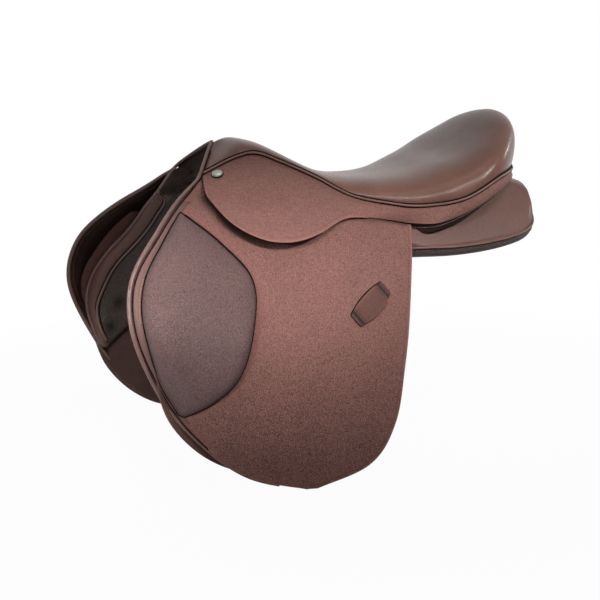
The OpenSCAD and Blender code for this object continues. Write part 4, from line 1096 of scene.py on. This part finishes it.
kq = keeper_at(ku[:, None], kj[None, :])
arch = KEEPER_ARCH * (1 - soft((np.abs(ku) - 0.3) / 0.4))[:, None] * (1 - 0.25 * kj[None, :] ** 2)
k_edge = np.minimum((1 - np.abs(kj)) * keeper_half(ku)[:, None], ((1 - np.abs(ku)) * keeper_len / 2)[:, None])
# Painted shade across both sewn ends
keep_geo = slab(on_side(kq, lay + keeper_t + arch), on_side(kq, 0.1 + arch * 0.9), wear=0.4 * np.exp(-k_edge / 1.2),
                crease=0.95 * bell(np.abs(ku), 0.84, 0.13)[:, None] * np.ones_like(k_edge))
pair("keeper", keep_geo, KEEP, "flap", ("keeper",), bevel=0.7)
ends = [keeper_at(a, np.linspace(-0.85, 0.85, 12)) for a in (-0.9, -0.74, 0.74, 0.9)]
end_b = np.linspace(-1, 1, 9)
k_ring = np.concatenate([keeper_at(ku, -1.0), keeper_at(1.0, end_b)[1:], keeper_at(ku[::-1], 1.0)[1:],
                         keeper_at(-1.0, -end_b)[1:]])
keep_sewn = [sewn(on_side, e, lay + keeper_t + 0.1, pitch=2.6, length=1.9, width=0.9) for e in ends]
pair("keeper_thread", join(*keep_sewn), THREAD_DARK, "flap")
# Dark cord round the outline, as painted shade at the patch's edge
pair("keeper_crease", tube_geo(on_side(spaced(k_ring, THREAD_STEP), 0.5), 2.0), SHADE_CORD, "flap")

# Sweat flap and blocks
sq = side_rows(SWEAT_REAR, SWEAT_FORE, down_rows(SWEAT_END, 60, 18), both_ends(56, 1.5))
d_sweat = distance(sq, outline(SWEAT_REAR, SWEAT_FORE, SWEAT_END)[::2])
s_dent = -0.25 * bell(d_sweat, 5, 1.1) + 0.3 * ripple(sq, 80, 9) * soft(d_sweat / 30)
pair("sweat_flap", slab(on_side(sq, -sweat_in + s_dent), on_side(sq, -sweat_in - sweat_t + s_dent),
                        wear=0.7 * np.exp(-d_sweat / 2.5)),
     SWEAT, "saddle", ("sweat_flap",), bevel=0.9)
sweat_run = spaced(np.concatenate([curve(SWEAT_REAR, np.linspace(0.05, SWEAT_END, 80)),
                                   curve(SWEAT_FORE, np.linspace(SWEAT_END, 0.03, 120))]), THREAD_STEP)
sweat_run = inset(sweat_run, 4.5, middle)
pair("sweat_thread", join(sewn(on_side, sweat_run, -sweat_in), sewn(on_side, sweat_run, -sweat_in - sweat_t, -1.0)),
     THREAD, "saddle")


def block_geo(rear, fore, h, seed):
    a, b = both_ends(40, 1.6), both_ends(26, 1.6)
    g = side_rows(path(rear), path(fore), a, b)
    c = (np.sin(np.pi * a)[:, None] * np.sin(np.pi * b)[None, :]).clip(0) ** 0.45
    # Painted shade round the block's foot, where it meets the sweat flap
    return slab(on_side(g, -sweat_in + 2 * lay + h * c * (1 + 0.02 * ripple(g, 40, seed))),
                on_side(g, -sweat_in + 0.3), crease=0.6 * np.exp(-c / 0.15))


for name, geo in (("knee_block", block_geo([(246, 50), (256, 10), (284, -50), (286, -110)],
                                           [(272, 52), (300, 12), (328, -50), (318, -114)], bay - 3, 11)),
                  ("thigh_block", block_geo([(32, -60), (26, -100), (25, -140), (34, -178)],
                                            [(40, -60), (48, -100), (50, -140), (46, -178)], bay - 9, 12))):
    pair(name, geo, BLOCK, "saddle", (name,))

# Panels: cushion with a grained face to the horse, gusset band, tufts and piped seams
CAP_X, CAP_DEEP, CAP_UP = -233, 7, 12
GUSSET_Z, GUSSET_X, GUSSET_OUT = 82, 225, 4.5
GUSSET_W, GUSSET_LOW_W, GUSSET_TURN = 17.0, 8.0, 17
TUFTS, TUFT_R, TUFT_DEEP = np.array([(278, -85), (290, -119)]), 8, 7
px = np.concatenate([np.linspace(CAP_X, -200, 24), np.linspace(-200, 200, 100)[1:],
                     np.linspace(200, PANEL_X1, 90)[1:]])
pu = np.linspace(0, 1, 41)
rings = np.array([np.concatenate([panel_points(x, pu, True), panel_points(x, pu[-2:0:-1], False)]) for x in px])
for _ in range(12):
    rings[1:-1] = mix(rings[1:-1], eased(rings), soft((-140 - px[1:-1]) / 40)[:, None, None])
# Two tufts draw the face of the front pad in
on_face = (np.arange(rings.shape[1]) < len(pu))[None, :]
tuft = sum(bell(np.linalg.norm(rings[..., [0, 2]] - c, axis=-1), 0, TUFT_R) for c in TUFTS) * on_face
rings[..., 1] += TUFT_DEEP * tuft
# The gusset band swells between its two pipes
top_x, seam_x = np.linspace(215, PANEL_X1, 80), np.linspace(PANEL_X1, 303, 24)
front_line = np.concatenate([stack(top_x, curve(F_TOP, top_x)), stack(seam_x, curve(P_SEAM, seam_x))])


def gusset_w(z):
    return mix(GUSSET_W, GUSSET_LOW_W, soft((-45 - z) / 80))


x, z = rings[..., 0], rings[..., 2]
swell_in = np.sin(np.pi * np.clip(distance(rings[..., [0, 2]], front_line) / gusset_w(z), 0, 1))
rings[..., 1] -= GUSSET_OUT * swell_in * (x > GUSSET_X) * soft((GUSSET_Z - z) / 30) * on_face
# The rear end closes in a round cap
cap_middle = rings[0].mean(0) + [0, 0, CAP_UP]
cap = []
for a in np.linspace(0, 1.53, 12)[:0:-1]:
    c = cap_middle + (rings[0] - cap_middle) * math.cos(a)
    cap.append(c * [0, 1, 1] + [CAP_X - CAP_DEEP * math.sin(a), 0, 0])
n_cap = len(cap)
rings = np.concatenate([np.array(cap), rings])
n, m = rings.shape[:2]
x, z = rings[:-1, :, 0], rings[:-1, :, 2]
gusset = (distance(rings[:-1][..., [0, 2]], front_line) < gusset_w(z)) & (x > GUSSET_X) & (z < GUSSET_Z)
inside = (np.arange(m) < len(pu) - 1)[None, :]
part = np.where((x > 150) & (z > GUSSET_Z), 2, np.where(inside & ~gusset, 1, 0))
# Painted shade in the tuft dimples
panel_geo = dict(v=rings.reshape(-1, 3), f=ring_faces(n, m), m=part.reshape(-1),
                 crease=np.concatenate([np.zeros(n_cap * m), 0.9 * tuft.reshape(-1)]),
                 caps=[list(range(m)), list(range((n - 1) * m, n * m))])
pair("panel", panel_geo, [PANEL, CONTACT, LINING], "saddle", ("panel",))


# Piping on the seam of the rear cushion, with a row of threads above it
def seam_at(x, out):
    p, a, b = (panel_points(x + d, 1.0, True) for d in (0, 2, -2))
    g = a - b
    return p + out * unit(np.array([-g[1], g[0], 0]))


SEAM_OUT = 1.6
end_turn = [rings[e, len(pu) - 1] + [-SEAM_OUT * math.sin(1.5 * (n_cap - e) / n_cap), 1, 0] for e in range(2, n_cap)]
line = smooth_run(end_turn + [seam_at(x, SEAM_OUT) for x in np.linspace(CAP_X + 2, 0, 120)], 3, 5)
pair("panel_piping", tube_geo(line, 2.3, CORD_SIDES), SEAT_PIPE, "saddle", ("panel_welt",))
outward = unit(np.cross(unit(np.gradient(line, axis=0)), UP))
pair("panel_thread", stitch_geo(line + [0, 0, 2.6] + outward * 0.4, outward, pitch=3.0, length=2.1), THREAD, "saddle")


# Front pad: a pipe on its front edge and one on the inner side of the gusset, between two dark cords that are painted
# shade in the seams beside it
def pad_at(x, z):
    z0, z1 = float(curve(F_TOP, x)), float(curve(P_SEAM, x))
    return panel_points(x, np.clip((z0 - z) / max(z0 - z1, 1), 0, 1), True)


def pad_edge(x, u, share):
    return mix(panel_points(x, u, True), panel_points(x, u, False), share)


TIP_X = PANEL_X1 - 0.3
edge_x = np.concatenate([np.linspace(224, 250, 14), np.linspace(250, TIP_X, 60)[1:]])
edge = [pad_edge(x, 0.0, 0.75) for x in edge_x] + [pad_edge(x, 1.0, 0.5) for x in np.linspace(TIP_X, 300, 24)]
run = smooth_run(edge, PIPE_STEP, 5)
pipe_d = 5.4 * mix(0.6, 1, soft(np.arange(len(run)) / 8))
travel = run_length(front_line)
start = np.interp(-GUSSET_Z, -front_line[:len(top_x), 1], travel[:len(top_x)])


def gusset_cord(wider, out, d=SEAM_D, sides=SEAM_SIDES):
    points = []
    for at in np.arange(start, travel[-1] - 8, 2.0):
        a, b = at_length(front_line, travel, np.array([at - 2, at + 2]))
        along, place = unit(b - a), (a + b) / 2
        reach = math.sqrt(1 - max(1 - (at - start) / GUSSET_TURN, 0) ** 2)
        x, z = place + (float(gusset_w(place[1])) + wider) * reach * np.array([along[1], -along[0]])
        if z > float(curve(P_SEAM, min(x, PANEL_X1))) + 3:
            points.append(pad_at(x, z) - [0, out, 0])
    return tube_geo(smooth_run(points, PIPE_STEP, 6), d, sides)


pair("pad_piping", join(tube_geo(run, pipe_d, CORD_SIDES), gusset_cord(0, 0.6, 4.2, CORD_SIDES)), PIPE, "saddle")
pair("pad_seam_shade", join(gusset_cord(2.5, 0.3), gusset_cord(-2.6, 2.2)), SHADE_CORD, "saddle")

# Facing between the band and the panel, sewn along its middle
FACING_AHEAD, FACING_SHORT, FACING_AT, FACING_T = 10, 22, 0.94, 2
f_i = np.linspace(last - FACING_AHEAD, len(rows) - FACING_SHORT, 90)
high = on_grid(inner, f_i, N_TOP * FACING_AT)[0]
fade = soft((f_i - f_i[0]) / (f_i[-1] - f_i[0]))
fall = stack(4.0 * fade, mix(-7.0, -9.0, fade), mix(-17.0, -10.0, fade))
facing = np.stack([high + fall * k for k in np.linspace(0, 1, 9)], 1)
pair("facing", slab(facing, facing - [0, FACING_T, 0]), LINING, "saddle")
pair("facing_thread", stitch_on(facing, np.linspace(1, 80, 160), 3.6, pitch=3.0), THREAD_PALE, "saddle")


# Linings: the roof of the channel between the panels
def roof_row(x, up):
    p = panel_points(x, 1 / 9, False)
    z = min(p[2] + lay, float(crest_z(x)) - cover_t - foam_t - web_t - tree_t - 8)
    w = mix(p[1] - 1, half_channel + 1, soft((x + 20) / 40))
    return stack(x, np.linspace(-1, 1, 17) * w, z + up)


ROOF_X0, ROOF_X1, ROOF_T = -244, 120, 2.2
roof = [np.array([roof_row(x, up) for x in np.linspace(ROOF_X0, ROOF_X1, 90)]) for up in (ROOF_T, 0)]
make("channel_lining", slab(*roof), LINING, "saddle", ("channel_lining",))


# The arch lining starts under the front pipe, turns in and runs back to the head plate
def arch_grid(thick):
    plate_top, plate_t, plate_x0 = pommel_h - 39, 4, 138
    low = plate_top - plate_t - 6
    wide = float(side_plain(104)) - panel_in - 0.55 * panel_t - 3
    a = np.linspace(-1, 1, 61)
    p = seat_at(0.0, np.abs(a), 1.5)
    front = stack(p[:, 0] - 0.5, np.sign(a) * p[:, 1], p[:, 2] - 0.5)
    foot = stack(198 + 40 * np.abs(a) ** 1.5, 66 * a, 106 - 22 * np.abs(a) ** 1.6)
    rear = stack(plate_x0 - 6, wide * a, low - 14 * a * a)
    out = []
    for t in np.linspace(0, 1, 33):
        row = mix(front, foot, t * 2) if t < 0.5 else mix(foot, rear, (t - 0.5) * 2)
        sag = math.sin(math.pi * min(t * 2, 1)) * 3
        inward = np.array([2.0, 0, 0]) if t < 0.45 else np.array([0, 0, -2.4])
        out.append(row - [sag, 0, 0] - inward * thick)
    return np.array(out)


make("arch_lining", slab(arch_grid(0), arch_grid(1)), LINING, "saddle", ("arch_lining",))

# Girth straps: pointed ends and punched holes
STRAP_TOP, STRAP_ROUND, STRAP_HOLE, FIRST_HOLE = 40, 10, 4.25, 38
TIP_HALF, TIP_LEN, STRAP_STEP = 4, 20, 4
STRAP_IN, STRAP_APART = flap_t + 4.4, 2.4


def strap_geo(x0, depth):
    low, half = STRAP_TOP - strap_len, strap_w / 2
    a = np.radians(np.arange(0, 181, 12))
    ring = np.concatenate([[(-half, low + TIP_LEN), (-TIP_HALF, low), (TIP_HALF, low), (half, low + TIP_LEN)],
                           np.stack([half * np.cos(a), STRAP_TOP + STRAP_ROUND * np.sin(a)], -1)])
    ring = np.concatenate([spaced(np.array(e), STRAP_STEP)[:-1] for e in zip(ring, np.roll(ring, -1, 0))])
    holes = [(low + FIRST_HOLE + i * hole_step, hole_d / 2) for i in range(hole_n)] + [(STRAP_TOP, STRAP_HOLE)]

    def half_at(z):
        return half if z > low + TIP_LEN else mix(TIP_HALF, half, (z - low) / TIP_LEN)

    def clear(x, z, grow, gap):
        return all(math.hypot(x, z - hole_z) > rad * grow + gap for hole_z, rad in holes)

    b = np.arange(16) * np.pi / 8
    loops = [ring] + [np.stack([rad * np.cos(b), hole_z + rad * np.sin(b)], -1) for hole_z, rad in holes]
    edges, o = [], 0
    for loop in loops:
        edges += [(o + i, o + (i + 1) % len(loop)) for i in range(len(loop))]
        o += len(loop)
    points = list(np.concatenate(loops))
    for z in np.arange(low + 4, STRAP_TOP + 8, float(STRAP_STEP)):
        points += [(x, z) for x in (-8, -4, 0, 4, 8) if abs(x) < half_at(z) - 2 and clear(x, z, 1, 1.2)]
    flat, _, found, *_ = delaunay_2d_cdt([Vector((float(x), float(z))) for x, z in points], edges, [], 0, 1e-5)
    flat = np.array([(p.x, p.y) for p in flat])
    keep = []
    for f in found:
        x, z = flat[list(f)].mean(0)
        top = STRAP_TOP + STRAP_ROUND * math.sqrt(max(1 - (x / half) ** 2, 0))
        if abs(x) < half_at(z) and low < z < top and clear(x, z, 0.99, 0):
            keep.append(list(f))
    # Only points that carry faces
    used, tri = np.unique(np.array(keep), return_inverse=True)
    tri = tri.reshape(-1, 3)
    x, z, o = flat[used, 0], flat[used, 1], len(used)
    face = stack(x + x0, side_plain(z) - depth, z)
    rim = rim_of(tri)
    return dict(v=np.concatenate([face, face - [0, strap_t, 0]]), f=rim_walls(rim, o),
                caps=[*tri, *(tri[:, ::-1] + o)], bevel=np.concatenate([rim, rim + o]),
                wear=np.tile(0.6 * np.exp(-np.maximum(half - np.abs(x), 0) / 1.5), 2))


for name, x0, depth in (("front", 126, STRAP_IN), ("rear", 86, STRAP_IN + strap_t + STRAP_APART)):
    pair("strap_" + name, strap_geo(x0, depth), STRAP, name + "_strap", ("strap_" + name,), bevel=0.5)

# Stage, light and camera, in metres
scene = bpy.context.scene


# One where a camera, glossy or see-through ray asks
def seen(m):
    rays = m.add("LightPath").outputs
    direct = m.math("MAXIMUM", rays["Is Camera Ray"], rays["Is Glossy Ray"])
    return m.math("MAXIMUM", direct, rays["Is Transmission Ray"])


# The floor keeps the shadow close to the object and turns white away from it
FLOOR_HALF, FLOOR_GAP, FLOOR_GREY = 6, 0.0005, 0.22
FADE_NEAR, FADE_FAR, GLOW_NEAR = 0.3, 1.3, 0.965
floor_z = cad_box[0][2] - FLOOR_GAP
corners = [(x * FLOOR_HALF, y * FLOOR_HALF, floor_z) for x, y in ((-1, -1), (1, -1), (1, 1), (-1, 1))]
floor_mesh = bpy.data.meshes.new("floor")
floor_mesh.from_pydata(corners, [], [(0, 1, 2, 3)])
floor = bpy.data.objects.new("floor", floor_mesh)
scene.collection.objects.link(floor)
paint = Nodes(bpy.data.materials.new("floor"))
paint.shader("Base Color", (FLOOR_GREY, FLOOR_GREY, FLOOR_GREY, 1))
paint.shader("Roughness", 0.9)
away = paint.add("VectorMath", operation="LENGTH")
paint.put(away.inputs[0], paint.add("TexCoord").outputs["Object"])
glow = paint.ramp(away.outputs["Value"], FADE_NEAR, FADE_FAR, GLOW_NEAR, 1.0, "SMOOTHSTEP")
paint.mix_shader(paint.math("MULTIPLY", seen(paint), glow), paint.tree.nodes["Principled BSDF"].outputs[0],
                 paint.add("Emission", in_Color=(1, 1, 1, 1)).outputs[0], "Material Output")
floor_mesh.materials.append(paint.owner)

FILL = 0.11
world = Nodes(bpy.data.worlds.new("studio"))
scene.world = world.owner
fill = world.tree.nodes["Background"]
fill.inputs["Color"].default_value = (1, 1, 1, 1)
fill.inputs["Strength"].default_value = FILL
world.mix_shader(seen(world), fill.outputs[0], world.add("Background", in_Color=(1, 1, 1, 1)).outputs[0],
                 "World Output")


def look_at(o, place, target):
    o.location = place
    o.rotation_euler = (Vector(target) - Vector(place)).to_track_quat("-Z", "Y").to_euler()
    scene.collection.objects.link(o)


# Lamps: place, target, width, height, power in watts and spread in degrees
def lamp(name, place, target, wide, high, power, spread):
    data = bpy.data.lights.new(name, "AREA")
    data.shape = "RECTANGLE"
    data.size, data.size_y = wide, high
    data.energy = power
    data.spread = math.radians(spread)
    look_at(bpy.data.objects.new(name, data), place, target)


lamp("key", (0.35, 1.55, 1.35), (0.04, 0.16, -0.05), 1.2, 0.2, 0.85, 14)
lamp("front", (1.75, 1.05, 0.5), (0.3, 0.16, -0.05), 0.35, 0.16, 0.36, 12)
lamp("side", (-0.7, 1.6, 1.15), (-0.13, 0.08, 0.05), 1.1, 0.14, 0.62, 11)
lamp("top", (0.2, 0.5, 1.9), (0.05, 0.05, 0.0), 0.8, 0.5, 0.4, 60)
lamp("off", (0.2, -1.7, 1.0), (0.0, -0.16, -0.13), 1.3, 0.25, 0.85, 11)
lamp("rear", (-1.9, -0.3, 0.6), (-0.2, 0.0, 0.06), 0.6, 0.2, 0.1, 12)

LENS, SENSOR = 84, 36
AIM, TURN, TILT, FAR = Vector((0.065, 0.0, -0.067)), math.radians(21), math.radians(10.5), 1.92
cam = bpy.data.cameras.new("camera")
cam.lens, cam.sensor_width = LENS, SENSOR
scene.camera = bpy.data.objects.new("camera", cam)
view = Vector((math.sin(TURN) * math.cos(TILT), math.cos(TURN) * math.cos(TILT), math.sin(TILT)))
look_at(scene.camera, AIM + FAR * view, AIM)
scene.view_settings.view_transform = "Standard"
